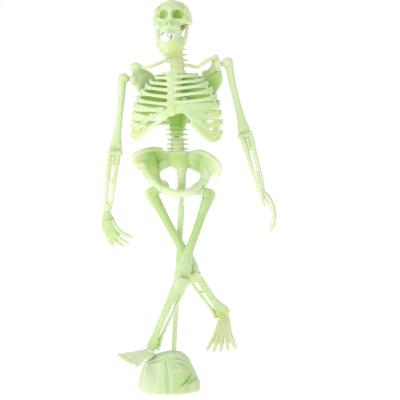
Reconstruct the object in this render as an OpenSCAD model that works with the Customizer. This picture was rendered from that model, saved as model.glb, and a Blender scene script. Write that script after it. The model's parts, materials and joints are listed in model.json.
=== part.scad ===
// Jointed skeleton figure on a rock stand, in pale glow plastic. Millimetres, +Z up, the figure faces -Y.
// The origin is the middle of the rock's flat underside. "Right" and "left" are the figure's own sides.

/* [Stand] */
// Mean radius of the rock at the floor
rock_r = 30; // [26:0.5:37]
// Height of the rock where the rod goes in
rock_h = 37; // [32:0.5:45]
// Wall of the hollow rock
rock_wall = 2.6; // [1.8:0.1:3.4]
// Thickness of the closing plate under the rock
plate_t = 2; // [1.5:0.1:3]
// Diameter of the rod at the rock
rod_d_low = 4.8; // [4:0.1:6]
// Diameter of the rod at its top
rod_d_top = 6.2; // [5.6:0.1:7.5]
// Depth of the rod's seat in the rock
rod_seat = 16; // [12:0.5:20]
// Diameter of the pin between rod and pelvis
pin_d = 4.1; // [3.4:0.1:4.6]
// Length of the pin that shows between rod and pelvis
pin_show = 15; // [12:0.5:20]
// Lean of the rod toward the figure's left
rod_lean = 3; // [0:0.5:5]
// Height of the standing heel above the rock's shoulder
heel_gap = 3; // [2:0.5:10]

/* [Legs] */
// Hip ball to knee pin
femur_l = 84.5; // [70:0.5:102]
// Knee pin to ankle
shin_l = 79.5; // [65:0.5:95]
// Ankle to the longest toe tip
foot_l = 38.5; // [32:0.5:46]
// Ankle down to the sole
foot_h = 13; // [11:0.5:16]
// Distance between neighbouring toe tips
toe_pitch = 6.2; // [5:0.1:7.4]
// Lift of the toes from square with the shin
foot_lift = 12; // [0:1:20]
// Half the distance between the hip balls
hip_half = 19.5; // [18:0.5:23.5]
// Hip balls in front of the rod
hip_front = 10; // [9:0.5:12]
// Diameter of the hip ball
hip_ball_d = 9; // [7.5:0.1:10.8]
// Diameter of the hip peg's stem
hip_stem_d = 4.4; // [3.6:0.1:5.2]
// Diameter of the rounded knee end
knee_d = 12; // [10.5:0.1:14.4]
// Width across the knee
knee_w = 15.5; // [13:0.1:18]
// Thickness of the tongue in the knee's slot
knee_tongue = 4.4; // [3.6:0.1:5.3]
// Diameter of the knee pin
knee_pin_d = 2.6; // [2.1:0.1:3.2]
// Diameter of the foot's peg
foot_peg_d = 3.6; // [3:0.1:4.3]

/* [Arms] */
// Shoulder to elbow pin
humerus_l = 73; // [60:0.5:88]
// Elbow pin to wrist
forearm_l = 57.5; // [48:0.5:69]
// Wrist to fingertips along the curve
hand_l = 46; // [38:0.5:56]
// Diameter of the shoulder ball
shoulder_ball_d = 6.4; // [5.3:0.1:7.7]
// Diameter of the shoulder peg's stem
shoulder_stem_d = 3.2; // [2.6:0.1:3.9]
// Shoulder ball to the middle of the arm bone's head
shoulder_reach = 8.5; // [8:0.1:10.2]
// Diameter of the rounded elbow end
elbow_d = 7.2; // [6.2:0.1:8.6]
// Thickness of the tongue in the elbow
elbow_tongue = 4.6; // [3.8:0.1:5.6]
// Thickness of each forearm ear
elbow_ear = 2.6; // [2.1:0.1:3.2]
// Diameter of the elbow pin
elbow_pin_d = 2.2; // [1.8:0.1:2.7]
// Diameter of the hand's peg
hand_peg_d = 3; // [2.5:0.1:3.6]

/* [Trunk] */
// Width of the pelvis over its crests
pelvis_w = 87; // [78:0.5:104]
// Height of the crests above the hip balls
crest_h = 41; // [38:0.5:46]
// Hip balls up to the waist joint
waist_h = 50.5; // [49:0.5:60]
// Width of the rib cage
chest_w = 86; // [72:0.5:103]
// Depth of the rib cage
chest_d = 50; // [45:0.5:60]
// Height of the chest part of the spine
chest_h = 63; // [60:0.5:75]
// Length of the neck
neck_l = 33; // [28:0.5:39]
// Diameter of the spine's pegs
spine_peg_d = 5; // [4.2:0.1:6]

/* [Head] */
// Width of the brain case
skull_w = 31; // [27:0.5:37]
// Length of the brain case
skull_d = 38; // [34:0.5:45]
// Wall of the hollow brain case
skull_wall = 2; // [1.5:0.1:2.6]
// Diameter of the jaw's hinge pins
jaw_pin_d = 2.6; // [2.1:0.1:3.1]

/* [Fits] */
// Running clearance on the radius of pins, pegs and balls
run = 0.06; // [0.03:0.01:0.1]
// Side clearance between cheeks that turn past each other
gap = 0.4; // [0.3:0.05:0.6]

/* [Pose] */
// Turn of the pelvis to the figure's right
pelvis_turn = 9; // [0:1:15]
// Turn of the chest to the figure's right
chest_turn = 6; // [0:1:15]
// Turn of the head to the figure's right
head_turn = 6; // [0:1:15]
// Tilt of the head backwards
head_back = 18; // [0:1:25]
// Right thigh: lean to the figure's left, swing forward, turn of the knee
thigh_r = [20.5, 3.5, -11]; // [-40:0.1:40]
// Left thigh: lean to the figure's left, swing forward, turn of the knee
thigh_l = [-12, 9.5, 26.5]; // [-40:0.1:40]
// Bend of the right knee
bend_r = 44; // [0:1:90]
// Bend of the left knee
bend_l = 24.4; // [0:0.1:90]
// Turn of the right foot on its peg
foot_turn_r = 11; // [-120:1:120]
// Turn of the left foot on its peg
foot_turn_l = 56; // [-130:1:130]
// Right arm: lean to the figure's left, swing forward, bend of the elbow
arm_r = [-6.9, 1.6, 2]; // [-40:0.1:40]
// Left arm: lean to the figure's left, swing forward, bend of the elbow
arm_l = [14.3, 1.6, 14.6]; // [-40:0.1:40]

/* [Hidden] */
$fn = 48;
bone = [0.79, 0.89, 0.66];
pale = [0.91, 0.94, 0.83];
deep = [0.66, 0.82, 0.43];

// Vectors, frames and turns
function unit(v) = v / norm(v);
function turned(v, k, a) = v * cos(a) + cross(k, v) * sin(a) + k * (k * v) * (1 - cos(a));
// A frame has its z along z and its x as near to x as that allows.
function frame(o, z, x) = let (c = unit(z), b = unit(cross(c, x)), a = cross(b, c))
  [[a.x, b.x, c.x, o.x], [a.y, b.y, c.y, o.y], [a.z, b.z, c.z, o.z], [0, 0, 0, 1]];
function spot(m, p) = let (q = m * [p.x, p.y, p.z, 1]) [q.x, q.y, q.z];
function way(m, d) = let (q = m * [d.x, d.y, d.z, 0]) [q.x, q.y, q.z];
// A direction that hangs down, leaning toward +X and swung forward.
function hang(lean, fwd) = [sin(lean) * cos(fwd), -sin(fwd), -cos(lean) * cos(fwd)];
module along(a, b) multmatrix(frame(a, b - a, abs(unit(b - a).x) > 0.9 ? [0, 1, 0] : [1, 0, 0])) children();
module rod_between(a, b, r, r2 = -1) along(a, b) cylinder(h = norm(b - a), r1 = r, r2 = r2 < 0 ? r : r2);

// Lofts: stations are [x, y, z, half width, half thickness]; the width lies along w.
function knot(s, i) = s[min(max(i, 0), len(s) - 1)];
function curve(a, b, c, d, t) = 0.5 * (2 * b + (c - a) * t + (2 * a - 5 * b + 4 * c - d) * t * t
  + (3 * b - a - 3 * c + d) * t * t * t);
function fine(s, k) = [for (i = [0:len(s) - 2], j = [0:k - 1])
  curve(knot(s, i - 1), s[i], s[i + 1], knot(s, i + 2), j / k), s[len(s) - 1]];
function mid(s) = [s[0], s[1], s[2]];
function ring(s, t, w, n) = let (u = unit(w - (w * t) * t), v = cross(t, u))
  [for (i = [0:n - 1]) mid(s) + s[3] * cos(360 * i / n) * u + s[4] * sin(360 * i / n) * v];
module loft(stations, w = [1, 0, 0], n = 10, k = 1) {
  s = k > 1 ? fine(stations, k) : stations;
  m = len(s);
  p = [for (i = [0:m - 1]) each ring(s[i], unit(mid(knot(s, i + 1)) - mid(knot(s, i - 1))), w, n)];
  f = concat([[for (j = [0:n - 1]) j]],
    [for (i = [0:m - 2], j = [0:n - 1]) let (a = i * n + j, b = i * n + (j + 1) % n)
      each [[a, b + n, b], [a, a + n, b + n]]],
    [[for (j = [n - 1:-1:0]) (m - 1) * n + j]]);
  polyhedron(p, f, convexity = 6);
}
function flip(s, q) = [for (v = s) [v[0] * q, v[1], v[2], v[3], v[4]]];

// Where everything is
rod_dir = [sin(rod_lean), 0, cos(rod_lean)];
rod_foot = [2.6, 0, 0];
function leg(t, bend) = let (f = hang(t[0], t[1]), x0 = unit(cross(f, [0, 1, 0])), a = turned(x0, -f, t[2]))
  [f, a, turned(f, a, bend)];
LEG_R = leg(thigh_r, bend_r);
LEG_L = leg(thigh_l, bend_l);
pelvis_x = turned([cos(rod_lean), 0, -sin(rod_lean)], rod_dir, -pelvis_turn);
// The standing heel sets how high the pelvis is.
hip_l_off = way(frame([0, 0, 0], rod_dir, pelvis_x), [hip_half, -hip_front, 0]);
heel_drop = hip_l_off.z + femur_l * LEG_L[0].z + (shin_l + foot_h) * LEG_L[2].z;
shoulder_z = rock_h - 9.5;
pelvis_z = shoulder_z + heel_gap - heel_drop;
PEL = frame(rod_foot + rod_dir * pelvis_z / rod_dir.z, rod_dir, pelvis_x);
HIP_R = spot(PEL, [-hip_half, -hip_front, 0]);
HIP_L = spot(PEL, [hip_half, -hip_front, 0]);
THIGH_R = frame(HIP_R, LEG_R[0], LEG_R[1]);
THIGH_L = frame(HIP_L, LEG_L[0], LEG_L[1]);
KNEE_R = spot(THIGH_R, [0, 0, femur_l]);
KNEE_L = spot(THIGH_L, [0, 0, femur_l]);
SHIN_R = frame(KNEE_R, LEG_R[2], LEG_R[1]);
SHIN_L = frame(KNEE_L, LEG_L[2], LEG_L[1]);
ANKLE_R = spot(SHIN_R, [0, 0, shin_l]);
ANKLE_L = spot(SHIN_L, [0, 0, shin_l]);
FOOT_R = frame(ANKLE_R, LEG_R[2], turned(LEG_R[1], LEG_R[2], foot_turn_r));
FOOT_L = frame(ANKLE_L, LEG_L[2], turned(LEG_L[1], LEG_L[2], foot_turn_l));
// The spine stands a little to the figure's right of the rod.
seat_x = -8.1;
seat_y = 7;
seat_h = waist_h - 13.5;
SEAT = spot(PEL, [seat_x, seat_y, seat_h]);
WAIST = [SEAT.x - 0.6, SEAT.y + 1.2, SEAT.z + waist_h - seat_h];
chest_x = [cos(chest_turn), -sin(chest_turn), 0];
CH = frame(WAIST, [0, 0, 1], chest_x);
NECK0 = spot(CH, [0, 0, chest_h]);
neck_dir = unit([-3.3, -3, 33]);
NK = frame(NECK0, neck_dir, chest_x);
HEAD0 = spot(NK, [0, 0, neck_l]);
head_z = turned(turned([0, 0, 1], [1, 0, 0], -head_back), [0, 0, 1], -head_turn);
HD = frame(HEAD0 + [-0.8, 0, 1.5], head_z, [cos(head_turn), -sin(head_turn), 0]);
jaw_y = -2;
jaw_z = 13;
jaw_x = skull_w / 2 - 0.9;
JAW = spot(HD, [0, jaw_y, jaw_z]);
// Shoulders: ball centres on the chest, right low and left high as the figure shrugs.
half_w = chest_w / 2;
SH_R = spot(CH, [-half_w + 0.4, -9.5, chest_h - 6.6]);
SH_L = spot(CH, [half_w - 1, -2.5, chest_h + 7.4]);
function arm(p) = let (h = hang(p[0], p[1]), a = unit(cross(h, [0, 1, 0]))) [h, a, turned(h, a, -p[2])];
ARM_R = arm(arm_r);
ARM_L = arm(arm_l);
UPPER_R = frame(SH_R, ARM_R[0], ARM_R[1]);
UPPER_L = frame(SH_L, ARM_L[0], ARM_L[1]);
ELBOW_R = spot(UPPER_R, [-shoulder_reach, 0, humerus_l]);
ELBOW_L = spot(UPPER_L, [shoulder_reach, 0, humerus_l]);
FORE_R = frame(ELBOW_R, ARM_R[2], ARM_R[1]);
FORE_L = frame(ELBOW_L, ARM_L[2], ARM_L[1]);
WRIST_R = spot(FORE_R, [0, 0, forearm_l]);
WRIST_L = spot(FORE_L, [0, 0, forearm_l]);

// Joint table, printed in metres for whoever rigs the figure
function m(v) = v / 1000;
echo(pelvis_swivel = m(spot(PEL, [0, 0, 0])), rod_dir);
echo(waist_twist = m(WAIST), [0, 0, 1]);
echo(head_turn = m(HEAD0), neck_dir);
echo(jaw_hinge = m(JAW), way(HD, [1, 0, 0]));
echo(shoulder_raise_right = m(SH_R), [0, -1, 0]);
echo(shoulder_raise_left = m(SH_L), [0, -1, 0]);
echo(shoulder_swing_right = m(SH_R), ARM_R[1]);
echo(shoulder_swing_left = m(SH_L), ARM_L[1]);
echo(elbow_bend_right = m(ELBOW_R), ARM_R[1]);
echo(elbow_bend_left = m(ELBOW_L), ARM_L[1]);
echo(wrist_twist_right = m(WRIST_R), ARM_R[2]);
echo(wrist_twist_left = m(WRIST_L), ARM_L[2]);
echo(hip_spread_right = m(HIP_R), way(PEL, [0, -1, 0]));
echo(hip_spread_left = m(HIP_L), way(PEL, [0, -1, 0]));
echo(hip_swing_right = m(HIP_R), LEG_R[1]);
echo(hip_swing_left = m(HIP_L), LEG_L[1]);
echo(knee_bend_right = m(KNEE_R), LEG_R[1]);
echo(knee_bend_left = m(KNEE_L), LEG_L[1]);
echo(foot_twist_right = m(ANKLE_R), LEG_R[2]);
echo(foot_twist_left = m(ANKLE_L), LEG_L[2]);

// Rock: rings of 16 points, bulging and stepped like broken stone, wider on the figure's right.
rock_levels = [[0, 1], [0.1, 1.02], [0.3, 0.97], [0.58, 0.86], [0.78, 0.66], [0.92, 0.42], [1, 0.2]];
function rock_wave(a, h) = 1 + 0.05 * sin(3 * a + 40 + 60 * h) + 0.035 * sin(5 * a + 200 * h) * (1 - h);
function rock_ring(h, r, inset) = [for (i = [0:15]) let (a = 360 * i / 16, q = r * rock_wave(a,
  h) * rock_r - inset)
  [q * cos(a) + h * 5, q * sin(a) * 0.93 + h * 4, h * rock_h]];
module rock_solid(inset, low, top) {
  rings = [for (l = rock_levels) rock_ring(l[0], l[1], min(inset, l[1] * rock_r * 0.7))];
  m = len(rings);
  p = [for (i = [0:m - 1]) each [for (q = rings[i]) [q.x, q.y, i == 0 ? low : q.z - top]]];
  f = concat([[for (j = [0:15]) j]],
    [for (i = [0:m - 2], j = [0:15]) let (a = i * 16 + j, b = i * 16 + (j + 1) % 16)
      each [[a, b + 16, b], [a, a + 16, b + 16]]],
    [[for (j = [15:-1:0]) (m - 1) * 16 + j]]);
  polyhedron(p, f, convexity = 4);
}
rod_low = rod_foot + rod_dir * (rock_h - rod_seat) / rod_dir.z;
rod_r_low = rod_d_low / 2;
rod_r_top = rod_d_top / 2;
pin_low = rod_dir * 9;
rod_top = spot(PEL, [0, 0, -pin_show - 2]);
rod_len = norm(rod_top - rod_low);
// The rod keeps its low diameter inside the seat and swells above it.
seat_len = rod_seat + 4;
module rock_base() color(bone) difference() {
  union() {
    difference() {
      rock_solid(0, 0, 0);
      rock_solid(rock_wall, -1, rock_wall);
    }
    intersection() {
      along(rod_low - rod_dir * 3, rod_top) cylinder(h = rod_seat, r = rod_r_low + 3);
      rock_solid(0.8, 0, 0.8);
    }
  }
  along(rod_low, rod_top) cylinder(h = rod_seat + 12, r = rod_r_low);
}
plate_gap = 0.9;
module base_plate() color(deep) linear_extrude(plate_t)
  polygon([for (q = rock_ring(0, 1, rock_wall + plate_gap)) [q.x, q.y]]);
module support_rod() color(bone) difference() {
  along(rod_low, rod_top) union() {
    cylinder(h = seat_len, r = rod_r_low);
    translate([0, 0, seat_len]) cylinder(h = rod_len - seat_len, r1 = rod_r_low, r2 = rod_r_top);
  }
  along(rod_top - pin_low, rod_top) cylinder(h = 10, r = pin_d / 2);
}
pin_in = 14;
module rod_pin() color(bone) along(rod_top - pin_low, rod_top)
  cylinder(h = 9 + 2 + pin_show + pin_in, r = pin_d / 2);

// Pelvis: two flared crests, sockets, pubic arch, sacrum and the post that turns on the rod's pin
half_p = pelvis_w / 2;
hip_r = hip_ball_d / 2;
module hip_bone(q) {
  wing = [[6, 8, crest_h - 15, 6, 4.6], [15, 8.6, crest_h - 16, 8, 3.4],
    [half_p * 0.62, 5, crest_h - 12.5, 12.5, 2.6],
    [half_p * 0.82, -1, crest_h - 14, 10, 2.3], [half_p * 0.95, -8, crest_h - 18, 6, 2],
      [half_p, -11, crest_h - 20.5, 2.6, 1.5]];
  body = [[half_p * 0.62, 2, crest_h - 17, 9, 2.8], [hip_half + 3.4, -3, 14, 7, 3.6],
    [hip_half - 1, -hip_front + 3, 5, 6, 4.6]];
  arch = [[hip_half - 1, -hip_front - 1, 4, 4.6, 3.6], [hip_half - 7, -hip_front - 8, 1.5, 4.4, 2.8],
    [hip_half - 14, -hip_front - 12, -1.6, 4.6, 2.8], [0, -hip_front - 13, -3, 4.8, 3]];
  loft(flip(wing, q), [0, 0, 1], 10, 2);
  loft(flip(body, q), [1, 0, 0], 10, 2);
  loft(flip(arch, q), [0, 0, 1], 8, 2);
  translate([q * (hip_half - 1.2), -hip_front, 0]) sphere(r = hip_r + 2.9);
}
post_r = pin_d / 2 + 2.1;
module pelvis() color(bone) multmatrix(PEL) difference() {
  union() {
    hip_bone(1);
    hip_bone(-1);
    translate([0, 0, -1]) cylinder(h = 23, r = post_r);
    loft([[0, 1, 17, 5, 5], [seat_x * 0.5, 4.5, 25, 10, 5], [seat_x * 0.85, seat_y, seat_h - 5, 11, 6.4],
      [seat_x, seat_y, seat_h, 9.5, 6.6]], [1, 0, 0], 12, 2);
    loft([[-15, 8, crest_h - 16, 5.5, 4], [15, 8, crest_h - 16, 5.5, 4]], [0, 0, 1], 8);
  }
  translate([0, 0, -3]) cylinder(h = 3 + pin_in + 0.5, r = pin_d / 2 + run);
  for (q = [-1, 1]) translate([q * hip_half, -hip_front, 0]) {
    sphere(r = hip_r + run);
    translate([q > 0 ? 1.5 : -21.5, -20, -20]) cube([20, 40, 40]);
  }
  multmatrix(frame([seat_x, seat_y, seat_h], way(PEL_BACK, [0, 0, 1]), [1, 0, 0])) {
    translate([0, 0, -6.5]) cylinder(h = 12, r = spine_peg_d / 2);
    translate([-12, -10, 0]) cube([24, 24, 12]);
  }
}
// World directions as seen from the pelvis
PEL_BACK = [for (i = [0:3]) [for (j = [0:3]) i < 3 && j < 3 ? PEL[j][i] : i == j ? 1 : 0]];

// A vertebra: body, side spikes and a back spike
module vertebra(r, h, spike, back) {
  cylinder(h = h, r = r);
  for (q = [-1, 1]) translate([0, 1.5, h * 0.55]) rotate([0, q * 97, 0]) cylinder(h = spike, r1 = 1.9,
    r2 = 0.8);
  if (back > 0) translate([0, 0, h * 0.5]) rotate([-108, 0, 0]) cylinder(h = back, r1 = 2, r2 = 0.9);
}
lumbar_r = 6.5;
module lumbar_spine() color(bone) {
  h = WAIST.z - SEAT.z;
  multmatrix(frame(SEAT, [0, 0, 1], chest_x)) {
    translate([0, 0, -6]) cylinder(h = 7, r = spine_peg_d / 2);
    cylinder(h = h - 0.3, r = lumbar_r - 1.2);
    for (i = [0:2]) translate([0, 0, i * h / 3 + 0.15])
      vertebra(lumbar_r, h / 3 - 0.9, 10.4, i > 0 ? 13 : 0);
  }
  multmatrix(CH) translate([0, 0, -1]) cylinder(h = 7, r = spine_peg_d / 2);
}
vert_n = 9;
vert_p = chest_h / vert_n;
module chest_spine() color(deep) multmatrix(CH) difference() {
  union() {
    cylinder(h = chest_h + 0.6, r = 4.4);
    for (i = [0:vert_n - 1]) translate([0, 0, i * vert_p + 0.6]) cylinder(h = vert_p - 1.4, r = 5.6);
    for (i = [0:1], q = [-1, 1]) translate([0, 0, i * vert_p * 0.75 + 3]) rotate([0, q * 97, 0])
      cylinder(h = 12, r1 = 1.8, r2 = 0.8);
  }
  translate([0, 0, -1]) cylinder(h = 7.4, r = spine_peg_d / 2 + run);
  multmatrix(frame([0, 0, chest_h], way(CH_BACK, neck_dir), [1, 0, 0])) {
    translate([0, 0, -6]) cylinder(h = 10, r = spine_peg_d / 2);
    cylinder(h = 6, r = 8);
  }
}
CH_BACK = [for (i = [0:3]) [for (j = [0:3]) i < 3 && j < 3 ? CH[j][i] : i == j ? 1 : 0]];

// Ribs: nine pairs of bands on one egg-shaped barrel,
// the back ones in a right and a left comb. v runs from 0 at the back to 1 at the breastbone.
rib_n = 9;
rib_mid = -chest_d / 2 + 10.5;
function rib_wide(i) = half_w * [0.5, 0.7, 0.81, 0.88, 0.93, 0.97, 1, 1, 0.97][i];
function rib_deep(i) = chest_d / 2 * [0.92, 0.96, 0.98, 1, 1, 1, 1, 0.98, 0.95][i];
function rib_back(i) = chest_h - 2 - i * (chest_h - 9) / 8.6;
function rib_fall(i) = [7, 10, 12, 14, 15, 15.5, 15.5, 15, 13][i];
function rib_at(i, v) = let (a = 180 * v)
  [rib_wide(i) * sin(a), rib_mid + rib_deep(i) * cos(a), rib_back(i) - rib_fall(i) * (1 - cos(a)) / 2];
rib_half = 1.9;
rib_thick = 1.15;
function rib_band(i, v0, v1, n) = [for (k = [0:n]) let (p = rib_at(i, v0 + (v1 - v0) * k / n))
  [p.x, p.y, p.z, rib_half, rib_thick]];
rib_seam = 0.5;
rib_end = [0.9, 0.92, 0.92, 0.92, 0.92, 0.86, 0.79, 0.71, 0.6];
strap_w = 4.6;
split = 0.01;
module ribs_back(q) color(bone) multmatrix(CH) {
  for (i = [0:rib_n - 1]) loft(flip(rib_band(i, 0.035, rib_seam, 5), q), [0, 0, 1], 6);
  // half of the strap behind the spine that the ribs grow from, with its row of back spikes
  for (i = [0:rib_n - 1]) hull() {
    translate([q > 0 ? split : -strap_w - split, 6.1, rib_back(i) - 4]) cube([strap_w, 4.2,
      i == 0 ? 5 : 8]);
    translate([q > 0 ? split : -1 - split, 11.4, rib_back(i) - 4.6]) cube([1, 3, 2.4]);
  }
}
module ribs_back_right() ribs_back(-1);
module ribs_back_left() ribs_back(1);
breast_y = rib_mid - chest_d / 2;
module ribs_front() color(bone) multmatrix(CH) {
  for (i = [0:rib_n - 1], q = [-1, 1])
    loft(flip(rib_band(i, rib_seam + 0.006, rib_end[i], 5), q), [0, 0, 1], 6);
  // breastbone, top to tip
  loft([[0, breast_y + 4.6, chest_h - 5, 6.4, 2], [0, breast_y + 2.4, chest_h - 11, 5, 2.2],
    [0, breast_y + 0.4, chest_h - 25, 4.4, 2.2], [0, breast_y, chest_h - 38, 4.6, 2.2],
    [0, breast_y + 1.4, chest_h - 44, 1.6, 1.4]], [1, 0, 0], 10, 2);
  // gristle arch that ties the lower rib ends to the breastbone
  for (q = [-1, 1]) {
    ends = [for (i = [4:rib_n - 1]) let (p = rib_at(i, rib_end[i])) [q * p.x, p.y, p.z]];
    for (i = [0:len(ends) - 2]) hull() {
      translate(ends[i]) sphere(r = 2.1, $fn = 8);
      translate(ends[i + 1]) sphere(r = 1.9, $fn = 8);
    }
    for (i = [0:4]) hull() {
      p = rib_at(i, rib_end[i]);
      translate([q * p.x, p.y, p.z]) sphere(r = 1.7, $fn = 6);
      translate([q * 3, breast_y + [4, 2.6, 1.6, 0.8, 0.4][i], p.z - 0.4]) sphere(r = 1.7, $fn = 6);
    }
  }
}

// Neck with side spikes; the collarbones plug into its two lugs
neck_r = 4.6;
lug_r = 2.2;
peg_r = 1;
COLLAR_R = spot(NK, [-neck_r - 2.6, -2, neck_l * 0.44]);
COLLAR_L = spot(NK, [neck_r + 2.6, -2, neck_l * 0.19]);
collar_r_way = unit([-1, 0.02, -0.75]);
collar_l_way = unit([1, 0, 0.02]);
module neck() color(pale) difference() {
  union() {
    multmatrix(NK) {
      translate([0, 0, -5.5]) cylinder(h = 6, r = spine_peg_d / 2);
      cylinder(h = neck_l - 0.6, r = neck_r - 1);
      for (i = [0:5]) translate([0, 0, i * neck_l / 6.4 + 0.4])
        vertebra(neck_r, neck_l / 6.4 - 1.1, 9.6, i > 0 ? 9 : 0);
      translate([0, 0, neck_l - 1]) cylinder(h = 7.5, r = spine_peg_d / 2);
    }
    rod_between(COLLAR_R - collar_r_way * 6, COLLAR_R, lug_r);
    rod_between(COLLAR_L - collar_l_way * 6, COLLAR_L, lug_r);
  }
  rod_between(COLLAR_R - collar_r_way * 3, COLLAR_R + collar_r_way * 3, peg_r);
  rod_between(COLLAR_L - collar_l_way * 3, COLLAR_L + collar_l_way * 3, peg_r);
}

// Collarbones: S-shaped rods with a peg at each end
blade_r_tip = SH_R + [4.6, 1, 11.5];
blade_l_tip = SH_L + [-3.4, 2, 5.6];
tip_r = 3.6;
module collarbone(a, way_a, b, b_in, bow) {
  start = a + way_a * 0.1;
  end = b + b_in * (tip_r + 0.1);
  s = [[start.x, start.y, start.z, 1.5, 1.5],
    [start.x + way_a.x * 5, start.y + way_a.y * 5 - 1, start.z + way_a.z * 5, 1.6, 1.6],
    [(start.x + end.x) / 2, (start.y + end.y) / 2 - 3, (start.z + end.z) / 2 + bow, 1.7, 1.6],
    [end.x + b_in.x * 5, end.y + b_in.y * 5 - 0.6, end.z + b_in.z * 5, 1.7, 1.5],
      [end.x, end.y, end.z, 1.7, 1.7]];
  loft(s, [0, 0, 1], 8, 3);
  rod_between(a - way_a * 2.6, start + way_a * 1.2, peg_r);
  rod_between(b + b_in * 0.8, end + b_in * 1.2, peg_r);
}
b_in_r = unit([1, -0.1, 0.02]);
b_in_l = unit([-1, -0.1, -0.16]);
module collarbone_right() color(pale) collarbone(COLLAR_R, collar_r_way, blade_r_tip, b_in_r, -2.4);
module collarbone_left() color(pale) collarbone(COLLAR_L, collar_l_way, blade_l_tip, b_in_l, -1);

// Shoulder blades: a triangular plate behind the ribs, a spine ending in a knob, and the ball's cup
sh_r = shoulder_ball_d / 2;
cup_r = sh_r + 2.1;
cup_mouth = 1.2;
module blade_right() {
  c = SH_R;
  plate = [[c.x + 3.4, c.y + 2.4, c.z - 0.5, 5, 3.2], [c.x + 7, c.y + 8, c.z - 2, 8, 2],
    [c.x + 12, c.y + 13.5, c.z - 4.5, 12, 1.5], [c.x + 19, c.y + 17.5, c.z - 7.5, 15.5, 1.2],
      [c.x + 22, c.y + 19.2, c.z - 8.8, 13.5, 1]];
  loft(plate, [0, 0, 1], 10, 2);
  spine = [[c.x + 17, c.y + 17, c.z + 4, 2, 2], [c.x + 10, c.y + 12, c.z + 7.5, 2.2, 2],
    [c.x + 6, c.y + 5, c.z + 10.4, 2.6, 2.4], [blade_r_tip.x, blade_r_tip.y, blade_r_tip.z, 2.8, 2.6]];
  loft(spine, [0, 0, 1], 8, 2);
}
module blade_left() {
  c = SH_L;
  plate = [[c.x - 1, c.y + 2, c.z - 8, 9, 2.4], [c.x - 7, c.y + 9, c.z - 13, 12, 1.8],
    [c.x - 14, c.y + 17, c.z - 17, 15, 1.4],
    [c.x - 21, c.y + 22, c.z - 20, 15, 1.2], [c.x - 24, c.y + 24.1, c.z - 21.3, 13, 1]];
  loft(plate, [0, 0, 1], 10, 2);
  spine = [[c.x - 19, c.y + 20, c.z - 8, 2, 2], [c.x - 9, c.y + 11, c.z - 4, 2.4, 2],
    [c.x - 1, c.y + 3, c.z - 1, 3, 3],
    [blade_l_tip.x, blade_l_tip.y, blade_l_tip.z, 3, 3]];
  loft(spine, [0, 1, 0], 8, 2);
}
module shoulder_blade(m, q, tip, b_in) difference() {
  union() {
    children();
    multmatrix(m) rotate([0, q * 90, 0]) sphere(r = cup_r);
    rod_between(tip - b_in * tip_r, tip + b_in * tip_r, tip_r);
  }
  multmatrix(m) rotate([0, q * 90, 0]) {
    sphere(r = sh_r + run);
    translate([-cup_r - 0.5, -cup_r - 0.5, cup_mouth]) cube([2 * cup_r + 1, 2 * cup_r + 1, cup_r]);
  }
  rod_between(tip + b_in * 0.6, tip + b_in * 9, peg_r);
}
module shoulder_blade_right() color(bone) shoulder_blade(UPPER_R, -1, blade_r_tip, b_in_r) blade_right();
module shoulder_blade_left() color(bone) shoulder_blade(UPPER_L, 1, blade_l_tip, b_in_l) blade_left();

// Ball pegs: the ball sits in a cup, the stem turns in the limb's bore
module ball_peg(m, q, r, stem, len) multmatrix(m) {
  sphere(r = r);
  rotate([0, q * 90, 0]) cylinder(h = len, r = stem / 2);
}
sh_in = shoulder_reach + 2.6;
hip_reach = 10.5;
hip_in = hip_reach + 2.5;
module shoulder_peg_right() color(deep) ball_peg(UPPER_R, -1, sh_r, shoulder_stem_d, sh_in);
module shoulder_peg_left() color(deep) ball_peg(UPPER_L, 1, sh_r, shoulder_stem_d, sh_in);
module hip_peg_right() color(deep) ball_peg(THIGH_R, -1, hip_r, hip_stem_d, hip_in);
module hip_peg_left() color(deep) ball_peg(THIGH_L, 1, hip_r, hip_stem_d, hip_in);

// Arms
elbow_r = elbow_d / 2;
head_r = shoulder_stem_d / 2 + 3.4;
module pin_x(w, r) translate([-w / 2, 0, 0]) rotate([0, 90, 0]) cylinder(h = w, r = r);
module upper_arm(q) difference() {
  union() {
    translate([q * shoulder_reach, 0, 0]) sphere(r = head_r);
    translate([q * shoulder_reach, 0, 0]) {
      loft([[q * 0.6, 0, 0, 4.6, 4.4], [q * 0.6, 0, 8, 4.1, 4], [0, 0, 20, 3.3, 3.3],
        [0, 0, humerus_l * 0.55, 3.1, 3],
        [0, 0, humerus_l - 16, 3.5, 3], [0, 0, humerus_l - 9, 6, 3],
          [0, 0, humerus_l - elbow_r - 2.4, 7.4, 2.8],
        [0, 0, humerus_l - elbow_r - gap - 0.2, 6.6, 2.6]], [1, 0, 0], 10, 2);
      translate([0, 0, humerus_l]) pin_x(elbow_tongue, elbow_r);
      translate([-elbow_tongue / 2, -2.5, humerus_l - elbow_r - 2]) cube([elbow_tongue, 5, elbow_r + 2]);
    }
  }
  rotate([0, q * 90, 0]) cylinder(h = sh_in + 0.4, r = shoulder_stem_d / 2 + run);
  translate([q * shoulder_reach, 0, humerus_l]) pin_x(elbow_tongue + 2, elbow_pin_d / 2 + run);
}
module upper_arm_right() color(bone) multmatrix(UPPER_R) upper_arm(-1);
module upper_arm_left() color(bone) multmatrix(UPPER_L) upper_arm(1);
ear_in = elbow_tongue / 2 + gap / 2;
elbow_w = 2 * (ear_in + elbow_ear);
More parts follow.
